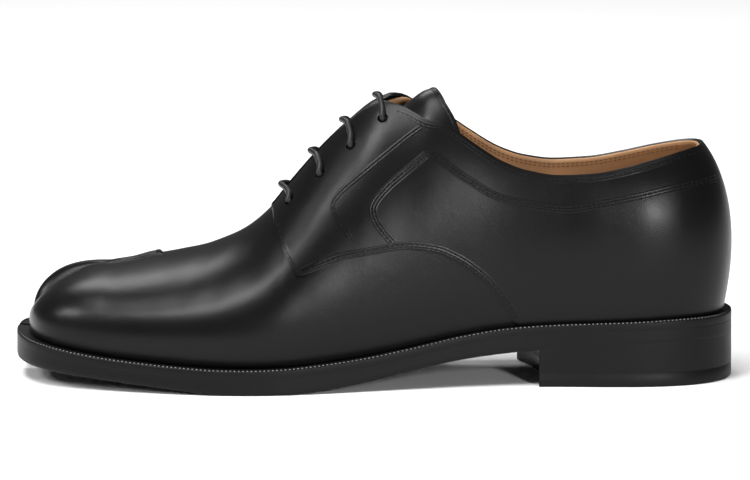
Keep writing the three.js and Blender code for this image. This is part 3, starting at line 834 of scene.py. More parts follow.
class DERBY_OT_vamp(bpy.types.Operator):
    """Build the vamp with its two toe lobes, the cleft between them and its creases"""

    bl_idname = "derby.vamp"
    bl_label = "Vamp"

    def execute(self, context):
        last = the_last(context)
        start = last.row_at(VAMP_START)
        rows = spread(start, 14.8, 84) + spread(14.9, 17.1, 40)
        rows += spread(17.17, 20.6, 44) + spread(20.65, 21.5, 14)
        columns = 46
        tops = {(side, row): vamp_high(last, side, row) for side in (LATERAL, MEDIAL) for row in rows}

        def place(i, j):
            side = LATERAL if j < columns else MEDIAL
            k = j if j < columns else 2 * columns - 1 - j
            share = tops[side, rows[i]] * k / (columns - 1)
            if i == len(rows) - 1:
                share = min(share, 1 - share)
            return last.spot(last.point(side, rows[i], share, 0.0))

        bm = bmesh.new()
        mapped_grid(bm, len(rows), 2 * columns, place)
        spare = [face for face in bm.faces if self.is_spare(last, face)]
        bmesh.ops.delete(bm, geom=spare, context="FACES")
        bmesh.ops.remove_doubles(bm, verts=bm.verts, dist=0.00002)
        outward(bm, Vector((0.0, 0.0, 0.03)))
        for v in bm.verts:
            v.co += v.normal * vamp_relief(last, v.co) * MM
        vamp = finish_mesh("vamp", bm, calf_leather(tuple(colours(context).calf)), "black_calf")
        thicken(vamp, VAMP_LEATHER * MM)
        settle(vamp)
        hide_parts("upper")
        return {"FINISHED"}

    def is_spare(self, last, face):
        """True for the strips that would close the throat opening or the foot of the cleft."""
        at = face.calc_center_median() / MM
        s, y = last.length / 2 - at.x, at.y + last.shift
        middle = y - last.spine(s)
        if s < THROAT_END:
            return abs(middle) < last.throat_side(s)
        return s > CLEFT_START and at.z < last.feather(s) - 0.8 and abs(middle) < last.gap / 2 + 0.2


class DERBY_OT_toe_seam(bpy.types.Operator):
    """Build the pinched seam that runs back from the cleft and the bar tack at its end"""

    bl_idname = "derby.toe_seam"
    bl_label = "Toe seam"

    def execute(self, context):
        last = the_last(context)
        rise = context.scene.derby_sizes.seam_height / MM
        along = spread(SEAM_BACK, SEAM_FRONT, 80)
        across = [u for u, _ in SEAM_SHAPE]

        def place(i, j):
            s, (u, height) = along[i], SEAM_SHAPE[j]
            point = last.over(s, u * SEAM_REACH, 0.0)
            point.z += rise * self.swelling(s) * height - 0.08 * smooth(1 - 4 * height)
            return last.spot(point)

        bm = bmesh.new()
        mapped_grid(bm, len(along), len(across), place)
        outward(bm, Vector((0.0, 0.0, 0.0)))
        seam = finish_mesh("toe_seam", bm, calf_leather(tuple(colours(context).calf)), "black_calf")
        thicken(seam, 0.4 * MM)
        settle(seam)

        bm = bmesh.new()
        for k in range(6):
            s = SEAM_BACK + 0.7 + 0.5 * k
            for u, height, fall in ((-1.1, 0.5, -0.5), (-0.3, 0.62, -0.6), (0.55, 1.0, 0.0), (1.3, 0.7, 0.9)):
                point = last.over(s, u, 0.0)
                point.z += rise * height * self.swelling(s)
                way = Vector((0.0, 1.0, -fall)).normalized()
                add_bead(bm, last.spot(point), way, (0.62 * MM, 0.27 * MM, 0.24 * MM))
        finish_mesh("toe_seam_tack", bm, thread(tuple(colours(context).thread), "thread"), "black_calf")
        return {"FINISHED"}

    def swelling(self, s):
        """Share of the seam's full height at a distance along: low at the cleft, full before its rounded end."""
        behind = smooth((s - SEAM_BACK + 0.3) / 2.2)
        ahead = smooth((SEAM_FRONT - s) / 6.0)
        return behind * ahead * (0.6 + 0.4 * smooth((252.0 - s) / 10.0))


def flare(last, side, row, share, end):
    """How far the corner of the facing stands out, in mm, most at its rim."""
    s = last.ridge_at(side, row)
    most = 2.4 if side == MEDIAL else 0.4
    return most * math.exp(-((s - FLARE_AT) / 11.0) ** 2) * smooth((share - end + 0.22) / 0.22)


class DERBY_OT_quarters(bpy.types.Operator):
    """Build the lateral and medial quarters with their collar, facings and eyelets"""

    bl_idname = "derby.quarters"
    bl_label = "Quarters"

    def execute(self, context):
        last = the_last(context)
        lift = -last.lift
        leather = calf_leather(tuple(colours(context).calf))
        rows = spread(0.0, 10.0, 84) + spread(10.08, last.row_at(QUARTER_END), 30)
        for side, name in ((LATERAL, "quarter_lateral"), (MEDIAL, "quarter_medial")):
            bm = bmesh.new()
            ends = {r: quarter_high(last, side, r, lift) for r in rows}
            leather_half(
                bm, last, side, rows,
                lambda a, r: quarter_low(last, a, r, lift),
                lambda a, r: ends[r],
                44, lambda a, r, share: lift - flare(last, a, r, share, ends[r]),
            )
            outward(bm, Vector((0.03, 0.0, 0.05)))
            quarter = finish_mesh(name, bm, leather, "black_calf")
            thicken(quarter, QUARTER_LEATHER * MM)
            settle(quarter)
            cut(quarter, eyelet_cutter(context, side))
            soften(quarter, EDGE_ROUND * MM)
            settle(quarter)
            flatten_shading(quarter)
            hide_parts("upper")
        return {"FINISHED"}


def flatten_shading(obj, angle=40.0):
    """Keep the shading soft over the leather and crisp at its cut edges."""
    bm = bmesh.new()
    bm.from_mesh(obj.data)
    for face in bm.faces:
        face.smooth = True
    for edge in bm.edges:
        edge.smooth = len(edge.link_faces) != 2 or edge.calc_face_angle(0.0) < math.radians(angle)
    bm.to_mesh(obj.data)
    bm.free()


def eyelets(last, side):
    """Where each eyelet goes through the quarter, with the way out of the leather."""
    found = []
    for along, _, aside in EYELETS[1:]:
        at = last.over(along * last.length, side * aside * last.ball, -last.lift)
        found.append((last.spot(at), last.normal(along * last.length, side * aside * last.ball)))
    return found


def eyelet_cutter(context, side):
    """Four round punches, one for each eyelet of a side."""
    last = the_last(context)
    bm = bmesh.new()
    for at, way in eyelets(last, side):
        made = bmesh.ops.create_cone(
            bm, cap_ends=True, segments=24, radius1=EYELET_RADIUS * MM, radius2=EYELET_RADIUS * MM, depth=12 * MM
        )
        turn = way.to_track_quat("Z", "Y").to_matrix().to_4x4()
        bmesh.ops.transform(bm, matrix=Matrix.Translation(at) @ turn, verts=made["verts"])
    mesh = bpy.data.meshes.new("punches")
    bm.to_mesh(mesh)
    bm.free()
    punches = bpy.data.objects.new("punches", mesh)
    bpy.context.collection.objects.link(punches)
    return punches


class DERBY_OT_lining(bpy.types.Operator):
    """Build the tan lining inside the quarters and the vamp"""

    bl_idname = "derby.lining"
    bl_label = "Lining"

    def execute(self, context):
        last = the_last(context)
        tan = tan_leather(tuple(colours(context).lining))
        rows = spread(0.0, 10.0, 70) + spread(10.1, 15.2, 50)
        for side, name in ((LATERAL, "lining_lateral"), (MEDIAL, "lining_medial")):
            bm = bmesh.new()
            ends = {r: self.top(last, side, r) for r in rows}
            leather_half(
                bm, last, side, rows,
                lambda a, r: 0.0,
                lambda a, r: ends[r],
                36, lambda a, r, share: LINING_INSET - flare(last, a, r, share, ends[r]),
            )
            outward(bm, Vector((0.03, 0.0, 0.05)))
            lining = finish_mesh(name, bm, tan, "tan_leather")
            thicken(lining, LINING_LEATHER * MM)
            settle(lining)
            cut(lining, eyelet_cutter(context, side))
            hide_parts("upper")

            bm = bmesh.new()
            turns = spread(0.0, math.pi / 2, 9)
            near = spread(0.0, 13.0, 100)
            mapped_grid(bm, len(near), len(turns), lambda i, j: self.foot(last, side, near[i], turns[j]))
            if side == MEDIAL:
                bmesh.ops.reverse_faces(bm, faces=bm.faces)
            finish_mesh("lining_foot_" + name[7:], bm, tan, "tan_leather")
        return {"FINISHED"}

    def foot(self, last, side, row, turn):
        """Point of the rounded foot of the lining, from its wall in to the insole."""
        inner = LINING_INSET + LINING_LEATHER
        wall = last.share_at_height(side, row, inner, lambda s: last.welt_top(s) + INSOLE_TOP + FOOT_ROUND)
        top = last.point(side, row, wall, inner)
        s, y = last.edge(side, row, INSOLE_MARGIN)
        share = 1 - math.cos(turn)
        height = last.welt_top(s) + INSOLE_TOP + (top.z - last.welt_top(s) - INSOLE_TOP) * (1 - math.sin(turn))
        return last.spot(Vector((top.x + (s - top.x) * share, top.y + (y - top.y) * share, height)))

    def top(self, last, side, row):
        """Share where the lining ends, just under the rim of the collar and facings."""
        s = last.ridge_at(side, row)
        if s > THROAT_END + 3:
            return 1.0
        return quarter_high(last, side, row, LINING_INSET, LINING_DROP)


class DERBY_OT_tongue(bpy.types.Operator):
    """Build the tongue, black outside and tan inside, under the laces"""

    bl_idname = "derby.tongue"
    bl_label = "Tongue"

    def execute(self, context):
        last = the_last(context)
        top = column(TONGUE_TOP, "along", last.length, 1.0)
        half = column(TONGUE_HALF, "side", last.ball, last.length)
        rows = spread(0.0, 1.0, 70)
        across = spread(-1.0, 1.0, 41)

        def place(i, j, depth):
            u = across[j]
            start = top(abs(u))
            s = start + (TONGUE_END - start) * rows[i]
            point = last.over(s, u * half(s), last.tongue_inset(s) + depth)
            return last.spot(point)

        leather = calf_leather(tuple(colours(context).calf))
        tan = tan_leather(tuple(colours(context).lining))
        for name, depth, wall, finish, kind in (
            ("tongue_leather", 0.0, 1.3, leather, "black_calf"),
            ("tongue_lining", 1.3, 1.0, tan, "tan_leather"),
        ):
            bm = bmesh.new()
            mapped_grid(bm, len(rows), len(across), lambda i, j: place(i, j, depth))
            outward(bm, Vector((0.0, 0.0, 0.0)))
            tongue = finish_mesh(name, bm, finish, kind)
            thicken(tongue, wall * MM)
            soften(tongue, 0.35 * MM, 2)
            settle(tongue)
            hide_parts("tongue")
        self.rim(context, last, top, half, leather)
        return {"FINISHED"}

    def rim(self, context, last, top, half, leather):
        """Folded rim along the top edge of the tongue, with its stitches."""
        across = spread(-0.99, 0.99, 91)

        def on_tongue(u, distance, height):
            s = top(abs(u)) + distance
            return last.spot(last.over(s, u * half(s), last.tongue_inset(s) - height))

        bm = bmesh.new()
        mapped_grid(bm, len(across), len(TONGUE_RIM), lambda i, j: on_tongue(across[i], *TONGUE_RIM[j]))
        outward(bm, Vector((0.0, 0.0, 0.0)))
        finish_mesh("tongue_rim", bm, leather, "black_calf")

        pitch = context.scene.derby_sizes.stitch_pitch / MM
        line = along_line([tuple(on_tongue(u, 1.18, 0.24) / MM) for u in across], pitch)
        spots = [Vector(point) * MM for point in line]
        bm = bmesh.new()
        for k, spot in enumerate(spots):
            way = (spots[min(len(spots) - 1, k + 1)] - spots[max(0, k - 1)]).normalized()
            add_bead(bm, spot, way, (0.38 * pitch * MM, 0.26 * MM, 0.2 * MM))
        finish_mesh("stitches_tongue", bm, thread(tuple(colours(context).thread), "thread"), "black_calf")


# Pieces of the bottom


def around(last, margin, height, t):
    """Point beside the sole edge, a margin in, with t from 0 to 1 round the shoe."""
    point = last.plan(t)
    way = last.plan(t + 1e-4) - last.plan(t - 1e-4)
    way = way / np.linalg.norm(way)
    s, y = point[0] - way[1] * margin, point[1] + way[0] * margin
    return Vector((s, y, height(s)))


def slot_ends(last):
    """Where the slot opens the run of the sole edge, as places round the shoe."""
    ends = []
    for aim in (CLEFT_SIDE - SLOT_WIDTH / 2, CLEFT_SIDE + SLOT_WIDTH / 2):
        low, high = 0.45, 0.55
        for _ in range(40):
            mid = (low + high) / 2
            if last.plan(mid)[1] < aim:
                low = mid
            else:
                high = mid
        ends.append((low + high) / 2)
    return ends


def ring_piece(bm, last, section, count):
    """Closed band round the shoe from one side of the slot to the other."""
    low, high = slot_ends(last)
    places = [(high + (1.0 - high + low) * i / (count - 1)) % 1.0 for i in range(count)]
    n = len(section)
    grid = mapped_grid(
        bm, count, n + 1,
        lambda i, j: last.spot(around(last, section[j % n][0], section[j % n][1], places[i])),
    )
    bmesh.ops.remove_doubles(bm, verts=grid, dist=0.00001)
    bmesh.ops.holes_fill(bm, edges=[edge for edge in bm.edges if edge.is_boundary], sides=0)
    bmesh.ops.recalc_face_normals(bm, faces=bm.faces)


class DERBY_OT_welt(bpy.types.Operator):
    """Build the welt with its square edge, wheeled ribs and the slot at the toe"""

    bl_idname = "derby.welt"
    bl_label = "Welt"

    def execute(self, context):
        last = the_last(context)
        sizes = context.scene.derby_sizes
        thick = sizes.welt_thickness / MM
        wide = sizes.welt_width / MM
        top = last.welt_top
        edge = edge_leather(tuple(colours(context).edge))

        def at(margin, down):
            return margin, lambda s: top(s) - down

        section = [
            at(0.44, thick), at(0.42, thick - 0.1), at(0.42, thick / 2), at(0.45, 0.6), at(0.52, 0.3),
            at(0.72, 0.12), at(1.0, 0.06), at(1.55, 0.06), at(1.75, 0.0), at(2.6, 0.0), at(4.6, 0.0),
            at(6.5, 0.0), at(wide, 0.0), at(wide, thick),
        ]
        bm = bmesh.new()
        ring_piece(bm, last, section, 560)
        welt = finish_mesh("welt_leather", bm, edge, "sole_edge")
        flatten_shading(welt, 60.0)
        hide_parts("welt")

        bm = bmesh.new()
        marks = even_marks(last, RIB_PITCH, 0.004)
        for at_, way in framed(last, [around(last, 1.12, top, t) for t in marks]):
            across = Vector((0.0, 0.0, 1.0)).cross(way).normalized()
            add_bead(bm, at_, across, (0.62 * MM, 0.3 * RIB_PITCH * MM, 0.34 * MM))
        finish_mesh("welt_ribs", bm, edge, "sole_edge")
        return {"FINISHED"}


def even_marks(last, pitch, clear):
    """Places round the shoe an even distance apart, clear of the slot."""
    low, high = slot_ends(last)
    count = 1600
    places = [high + clear + (1.0 - high + low - 2 * clear) * i / (count - 1) for i in range(count)]
    points = np.array([last.plan(t % 1.0) for t in places])
    run = np.concatenate([[0], np.cumsum(np.linalg.norm(np.diff(points, axis=0), axis=1))])
    total = run[-1]
    number = int(total / pitch)
    return [float(np.interp(total * (k + 0.5) / number, run, places)) % 1.0 for k in range(number)]


def framed(last, points):
    """Points of the last in order as places with the way they run."""
    spots = [last.spot(p) for p in points]
    for k, spot in enumerate(spots):
        ahead = spots[min(len(spots) - 1, k + 1)] - spots[max(0, k - 1)]
        yield spot, ahead.normalized()


def add_bead(bm, at, way, size, up=Vector((0.0, 0.0, 1.0))):
    """Small rounded bead along a direction, its half sizes along, across and up."""
    made = bmesh.ops.create_icosphere(bm, subdivisions=1, radius=1.0)
    across = up.cross(way).normalized()
    lift = way.cross(across).normalized()
    turn = Matrix((way * size[0], across * size[1], lift * size[2])).transposed().to_4x4()
    bmesh.ops.transform(bm, matrix=Matrix.Translation(at) @ turn, verts=made["verts"])


def sole_slab(bm, last, layers, rows, columns=13):
    """Closed slab from lateral to medial edge through layers of margin and height."""
    ring = [("bottom", k / (columns - 1)) for k in range(columns)]
    ring += [("medial", k) for k in range(1, len(layers) - 1)]
    ring += [("top", 1 - k / (columns - 1)) for k in range(columns)]
    ring += [("lateral", k) for k in range(len(layers) - 2, 0, -1)]
    n = len(ring)

    def at(row, side, layer):
        margin, height = layers[layer]
        s, y = last.edge(side, round(row, 5), margin)
        return Vector((s, y, height(s)))

    def place(i, j):
        kind, value = ring[j % n]
        row = rows[i]
        if kind == "medial":
            return last.spot(at(row, MEDIAL, value))
        if kind == "lateral":
            return last.spot(at(row, LATERAL, value))
        layer = 0 if kind == "bottom" else len(layers) - 1
        a, b = at(row, LATERAL, layer), at(row, MEDIAL, layer)
        point = a.lerp(b, value)
        point.z = layers[layer][1](point.x)
        return last.spot(point)

    grid = mapped_grid(bm, len(rows), n + 1, place)
    bmesh.ops.remove_doubles(bm, verts=grid, dist=0.00001)
    bmesh.ops.dissolve_degenerate(bm, dist=0.000001, edges=bm.edges)
    bmesh.ops.holes_fill(bm, edges=[edge for edge in bm.edges if edge.is_boundary], sides=0)
    bmesh.ops.recalc_face_normals(bm, faces=bm.faces)


def block(name, corners):
    """Upright cutter over a plan polygon, in mm from the heel back and to the side, with its levels."""
    plan, low, high = corners
    bm = bmesh.new()
    face = bm.faces.new([bm.verts.new(Vector((*p, low * MM))) for p in plan])
    grown = bmesh.ops.extrude_face_region(bm, geom=[face])
    lifted = [part for part in grown["geom"] if isinstance(part, bmesh.types.BMVert)]
    bmesh.ops.translate(bm, verts=lifted, vec=(0.0, 0.0, (high - low) * MM))
    bmesh.ops.recalc_face_normals(bm, faces=bm.faces)
    mesh = bpy.data.meshes.new(name)
    bm.to_mesh(mesh)
    bm.free()
    cutter = bpy.data.objects.new(name, mesh)
    bpy.context.collection.objects.link(cutter)
    return cutter


class DERBY_OT_outsole(bpy.types.Operator):
    """Build the leather outsole with its arch, toe spring and slot"""

    bl_idname = "derby.outsole"
    bl_label = "Outsole"

    def execute(self, context):
        last = the_last(context)
        thick = context.scene.derby_sizes.welt_thickness / MM
        top = lambda s: last.welt_top(s) - thick
        low = last.sole_bottom
        edge = edge_leather(tuple(colours(context).edge))
        bm = bmesh.new()
        rows = spread(0.0, 2.0, 15)[0:] + spread(2.2, 18.0, 80) + spread(18.1, 22.0, 46)
        sole_slab(bm, last, [
            (1.7, low), (0.95, lambda s: low(s) + 0.16), (0.52, lambda s: low(s) + 0.5),
            (0.36, lambda s: low(s) + 1.0), (0.34, lambda s: low(s) + 2.2), (0.38, lambda s: (low(s) + top(s)) / 2),
            (0.42, lambda s: top(s) - 0.4), (0.42, lambda s: top(s) - 0.04), (0.46, top),
        ], rows)
        sole = finish_mesh("outsole_leather", bm, edge, "sole_edge")
        cleft = last.spot(Vector((0, CLEFT_SIDE, 0))).y
        half = SLOT_WIDTH / 2 * MM
        back = last.spot(Vector((SLOT_BACK, 0, 0))).x
        front = last.spot(Vector((last.length + 10, 0, 0))).x
        cut(sole, block("slot", (
            [(back, cleft - half), (front, cleft - half), (front, cleft + half), (back, cleft + half)], -20, 80,
        )))
        soften(sole, 0.3 * MM, 2, 60)
        settle(sole)
        flatten_shading(sole, 45.0)
        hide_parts("outsole")
        return {"FINISHED"}


class DERBY_OT_heel(bpy.types.Operator):
    """Build the stacked heel with its hollow breast and top piece"""

    bl_idname = "derby.heel"
    bl_label = "Heel"

    def execute(self, context):
        last = the_last(context)
        edge = edge_leather(tuple(colours(context).edge))
        rows = spread(0.0, 2.0, 15) + spread(2.2, 9.0, 34)
        sole = last.sole_bottom
        lift = TOP_PIECE
        for name, layers in (
            ("heel_top_piece", [
                (1.3, lambda s: 0.0), (0.7, lambda s: 0.15), (0.4, lambda s: 0.5), (0.32, lambda s: 1.2),
                (0.33, lambda s: lift - 0.03), (0.36, lambda s: lift),
            ]),
            ("heel_stack", [
                (0.36, lambda s: lift), (0.33, lambda s: lift + 0.03), (0.34, lambda s: (lift + sole(s)) / 2),
                (0.36, lambda s: max(lift + 0.4, sole(s) + 0.9)), (0.37, lambda s: max(lift + 0.6, sole(s) + 1.14)),
                (0.8, lambda s: max(lift + 0.7, sole(s) + 1.2)),
            ]),
        ):
            bm = bmesh.new()
            sole_slab(bm, last, layers, rows)
            heel = finish_mesh(name, bm, edge, "sole_edge")
            cut(heel, self.forward(last))
            soften(heel, 0.35 * MM, 2, 60)
            settle(heel)
            flatten_shading(heel, 45.0)
            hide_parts("heel")
        return {"FINISHED"}

    def forward(self, last):
        """Cutter ahead of the hollow breast line."""
        half = 0.31 * last.ball
        plan = []
        for i in range(25):
            share = i / 12 - 1
            corner = HEEL_LENGTH - BREAST_SKEW / 2 + share * BREAST_SKEW / 2
            plan.append((corner - BREAST_HOLLOW * (1 - share * share), share * half))
        plan = [(plan[0][0], -80)] + plan + [(plan[-1][0], 80), (last.length + 20, 80), (last.length + 20, -80)]
        spots = [last.spot(Vector((s, y, 0))) for s, y in plan]
        return block("breast", ([(p.x, p.y) for p in spots], -20, 80))


class DERBY_OT_insole(bpy.types.Operator):
    """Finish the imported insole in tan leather"""

    bl_idname = "derby.insole"
    bl_label = "Insole"

    def execute(self, context):
        insole = bpy.data.objects["insole"]
        insole.material_slots[0].material = tan_leather(tuple(colours(context).lining))
        return {"FINISHED"}


# Thread and lace


def onto(surface, s, z, side, last, inside=False):
    """Where a line of sight from one side, or from the middle of the shoe, meets a piece, with its normal."""
    start = last.spot(Vector((s, 0.0 if inside else side * 120, z)))
    way = Vector((0, side if inside else -side, 0))
    hit, normal, _, _ = surface.ray_cast(start, way)
    if hit is None:
        return None
    return hit, (normal if normal.dot(way) < 0 else -normal)


def along_line(points, pitch):
    """Smooth line through points, resampled an even distance apart."""
    points = np.array(points, dtype=float)
    fine = []
    n = len(points)
    for k in range(n - 1):
        p0, p1, p2, p3 = points[max(0, k - 1)], points[k], points[k + 1], points[min(n - 1, k + 2)]
        for i in range(12):
            w = i / 12
            fine.append(
                0.5 * (2 * p1 + (p2 - p0) * w + (2 * p0 - 5 * p1 + 4 * p2 - p3) * w * w
                       + (3 * p1 - p0 - 3 * p2 + p3) * w ** 3)
            )
    fine.append(points[-1])
    fine = np.array(fine)
    run = np.concatenate([[0], np.cumsum(np.linalg.norm(np.diff(fine, axis=0), axis=1))])
    count = max(2, int(run[-1] / pitch))
    marks = [run[-1] * (k + 0.5) / count for k in range(count)]
    return [[float(np.interp(m, run, fine[:, a])) for a in range(fine.shape[1])] for m in marks]


def beside(line, distance):
    """Row of a side view moved across its own run."""
    moved = []
    for k, (s, z) in enumerate(line):
        ahead, behind = line[min(len(line) - 1, k + 1)], line[max(0, k - 1)]
        run = Vector((ahead[0] - behind[0], ahead[1] - behind[1])).normalized()
        moved.append((s - run.y * distance, z + run.x * distance))
    return moved


def sewn_strip(bm, surface, line, side, last, profile):
    """Narrow strip of drawn-up leather along a row, its heights given across the row."""
    run = along_line(line, 0.8)
    across = [beside(run, offset) for offset, _ in profile]
    ends = [[onto(surface, *across[j][k], side, last) for j in range(len(profile))] for k in range(len(run))]
    good = [row for row in ends if all(row)]
    if len(good) < 2:
        raise RuntimeError("a stitch row misses the quarter")

    def place(i, j):
        at, out = good[i][j]
        fade = smooth(min(i, len(good) - 1 - i) / 3)
        return at + out * (profile[j][1] * fade - 0.03 * (1 - fade)) * MM

    mapped_grid(bm, len(good), len(profile), place)


def sew(bm, surface, line, side, last, pitch, inside=False):
    """Row of raised stitches along a line of the side view."""
    ends = [onto(surface, s, z, side, last, inside) for s, z in along_line(line, pitch)]
    ends = [end for end in ends if end]
    for k, (at, out) in enumerate(ends):
        way = (ends[min(len(ends) - 1, k + 1)][0] - ends[max(0, k - 1)][0]).normalized()
        add_bead(bm, at + out * 0.02 * MM, way, (0.38 * pitch * MM, 0.24 * MM, 0.15 * MM), out)


class DERBY_OT_stitches(bpy.types.Operator):
    """Sew the rows of the collar, panel, facing, front edge and vamp seam, and the welt"""

    bl_idname = "derby.stitches"
    bl_label = "Stitches"

    def execute(self, context):
        last = the_last(context)
        black = thread(tuple(colours(context).thread), "thread")
        leather = calf_leather(tuple(colours(context).calf))
        graph = context.evaluated_depsgraph_get()
        pitch = context.scene.derby_sizes.stitch_pitch / MM
        for side, name in ((LATERAL, "lateral"), (MEDIAL, "medial")):
            surface = BVHTree.FromObject(bpy.data.objects["quarter_" + name], graph)
            rows = bmesh.new()
            seams = bmesh.new()
            for kind, line in self.lines(last):
                sewn_strip(seams, surface, line, side, last, PROFILES[kind])
                for offset in ((-0.62, 0.62) if kind in ("double", "edge pair") else (0.0,)):
                    sew(rows, surface, beside(line, offset), side, last, pitch)
            finish_mesh("stitches_" + name, rows, black, "black_calf")
            bmesh.ops.recalc_face_normals(seams, faces=seams.faces)
            finish_mesh("sewn_rows_" + name, seams, leather, "black_calf")
            self.tack(last, surface, side, name, black)

        brown = thread(tuple(colours(context).lining_thread), "lining_thread")
        for side, name in ((LATERAL, "lateral"), (MEDIAL, "medial")):
            surface = BVHTree.FromObject(bpy.data.objects["lining_" + name], graph)
            bm = bmesh.new()
            for drop in (2.4, 3.7):
                line = [(s, last.collar(s) - drop) for s in spread(22.0, 128.0, 40)]
                sew(bm, surface, line, side, last, pitch, inside=True)
            finish_mesh("stitches_lining_" + name, bm, brown, "tan_leather")

        bm = bmesh.new()
        # Welt stitches between the ribs, in light grey thread: the pale colour is partly the thread's own and partly
        # a painted highlight standing in for light caught by the wheeled welt
        marks = even_marks(last, RIB_PITCH, 0.004)
        marks = [(a + b) / 2 for a, b in zip(marks, marks[1:]) if abs(a - b) < 0.1]
        for at, way in framed(last, [around(last, 1.2, last.welt_top, t) for t in marks]):
            add_bead(bm, at, way, (0.24 * RIB_PITCH * MM, 0.2 * MM, 0.26 * MM))
        finish_mesh("stitches_welt", bm, thread(tuple(colours(context).welt_thread), "welt_thread"), "sole_edge")
        return {"FINISHED"}

    def lines(self, last):
        """Every row of a quarter with its kind: drawn on it, or beside its edges."""
        for kind, *line in STITCH_ROWS:
            yield kind, line
        collar = [(s, last.collar(s) - 2.2) for s in spread(7.0, 141.0, 40)]
        yield "single", collar
        seam = [(s, last.quarter_front(s)) for s in spread(93.0, 178.0, 40)]
        yield "edge pair", beside(seam, 1.55)
        front = [(s, last.quarter_front(s)) for s in spread(181.5, 192.4, 24)]
        yield "edge", beside(front, 1.2)

    def tack(self, last, surface, side, name, black):
        """Raised bar tack that holds the front corner of the quarter."""
        bm = bmesh.new()
        for s, z in zip(spread(TACK_FROM[0], TACK_TO[0], 17), spread(TACK_FROM[1], TACK_TO[1], 17)):
            at, out = onto(surface, s, z, side, last)
            add_bead(bm, at + out * 0.25 * MM, Vector((0.3, 0.0, 1.0)).normalized(),
                     (1.0 * MM, 0.24 * MM, 0.85 * MM), out)
        finish_mesh("bar_tack_" + name, bm, black, "black_calf")


class DERBY_OT_lace(bpy.types.Operator):
    """Run the lace through the eyelets in straight bars"""

    bl_idname = "derby.lace"
    bl_label = "Lace"

    def execute(self, context):
        last = the_last(context)
        sizes = context.scene.derby_sizes
        points = self.route(last)
        curve = bpy.data.curves.new("lace", "CURVE")
        curve.dimensions = "3D"
        curve.bevel_depth = sizes.lace_diameter / 2
        curve.bevel_resolution = 4
        curve.use_fill_caps = True
        spline = curve.splines.new("POLY")
        spline.points.add(len(points) - 1)
        for point, place in zip(spline.points, points):
            point.co = (*place, 1.0)
        lace = bpy.data.objects.new("lace", curve)
        context.collection.objects.link(lace)
        curve.materials.append(waxed_cord(tuple(colours(context).lace)))
        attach(lace, "root")
        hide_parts(*["lace_bar_%d" % k for k in (1, 2, 3, 4)])
        length = sum((b - a).length for a, b in zip(points, points[1:]))
        tuple(points[0])
        return {"FINISHED"}

    def route(self, last):
        """Centre line of the lace from under the top lateral eyelet, down the facings and back up."""
        knots = []

        def inner(s, offset, depth=3.15):
            knots.append(last.spot(last.over(s, offset, depth)))

        def through(number, side, outward):
            at, way = eyelets(last, side)[number]
            steps = [-3.4, -1.6, 0.2] if outward else [0.2, -1.6, -3.4]
            for step in steps:
                knots.append(at + way * step * MM)

        def bar(number, start):
            along, over, aside = EYELETS[1:][number]
            along, over, aside = along * last.length, over * last.length, aside * last.ball
            arm = []
            for side in (start, -start):
                arm.append([])
                for offset in (aside - 1.7, 0.72 * aside, 0.5 * aside):
                    s = along + (over - along) * (1 - offset / aside)
                    arm[-1].append(last.spot(last.over(s, side * offset, -last.lift - 1.35)))
            middle = (arm[0][-1] + arm[1][-1]) / 2
            middle.x = last.spot(Vector((over, 0, 0))).x
            middle.z += 0.7 * MM
            knots.extend([*arm[0], middle, *reversed(arm[1])])

        e1, e2, e3, e4 = (row[0] * last.length for row in EYELETS[1:])
        inner(e1 + 6, -20.0)
        through(0, LATERAL, True)
        bar(0, LATERAL)
        through(0, MEDIAL, False)
        inner(e1 + 6, 19.6)
        inner((e1 + e3) / 2, 22.3)
        inner(e3 - 5, 22.4)
        through(2, MEDIAL, True)
        bar(2, MEDIAL)
        through(2, LATERAL, False)
        inner((e3 + e4) / 2, -20.3)
        through(3, LATERAL, True)
        bar(3, LATERAL)
        through(3, MEDIAL, False)
        inner(e4 - 6, 18.0)
        inner(e3, 17.2)
        inner(e2 + 5, 17.6)
        through(1, MEDIAL, True)
        bar(1, MEDIAL)
        through(1, LATERAL, False)
        inner((e1 + e2) / 2, -16.4)
        inner(e1 + 1.5, -12.8)
        return smooth_path(knots, 6)


def smooth_path(knots, steps):
    """Centripetal curve through the knots."""
    points = []
    n = len(knots)
    for k in range(n - 1):
        p1, p2 = knots[k], knots[k + 1]
        p0 = knots[k - 1] if k else p1 * 2 - p2
        p3 = knots[k + 2] if k + 2 < n else p2 * 2 - p1
        d0, d1, d2 = (max(1e-4, (b - a).length ** 0.5) for a, b in ((p0, p1), (p1, p2), (p2, p3)))
        t1 = ((p1 - p0) / d0 - (p2 - p0) / (d0 + d1) + (p2 - p1) / d1) * d1
        t2 = ((p2 - p1) / d1 - (p3 - p1) / (d1 + d2) + (p3 - p2) / d2) * d1
        for i in range(steps):
            w = i / steps
            points.append(p1 + t1 * w + (-3 * p1 + 3 * p2 - 2 * t1 - t2) * w * w
                          + (2 * p1 - 2 * p2 + t1 + t2) * w ** 3)
    points.append(knots[-1])
    return points


# Stage


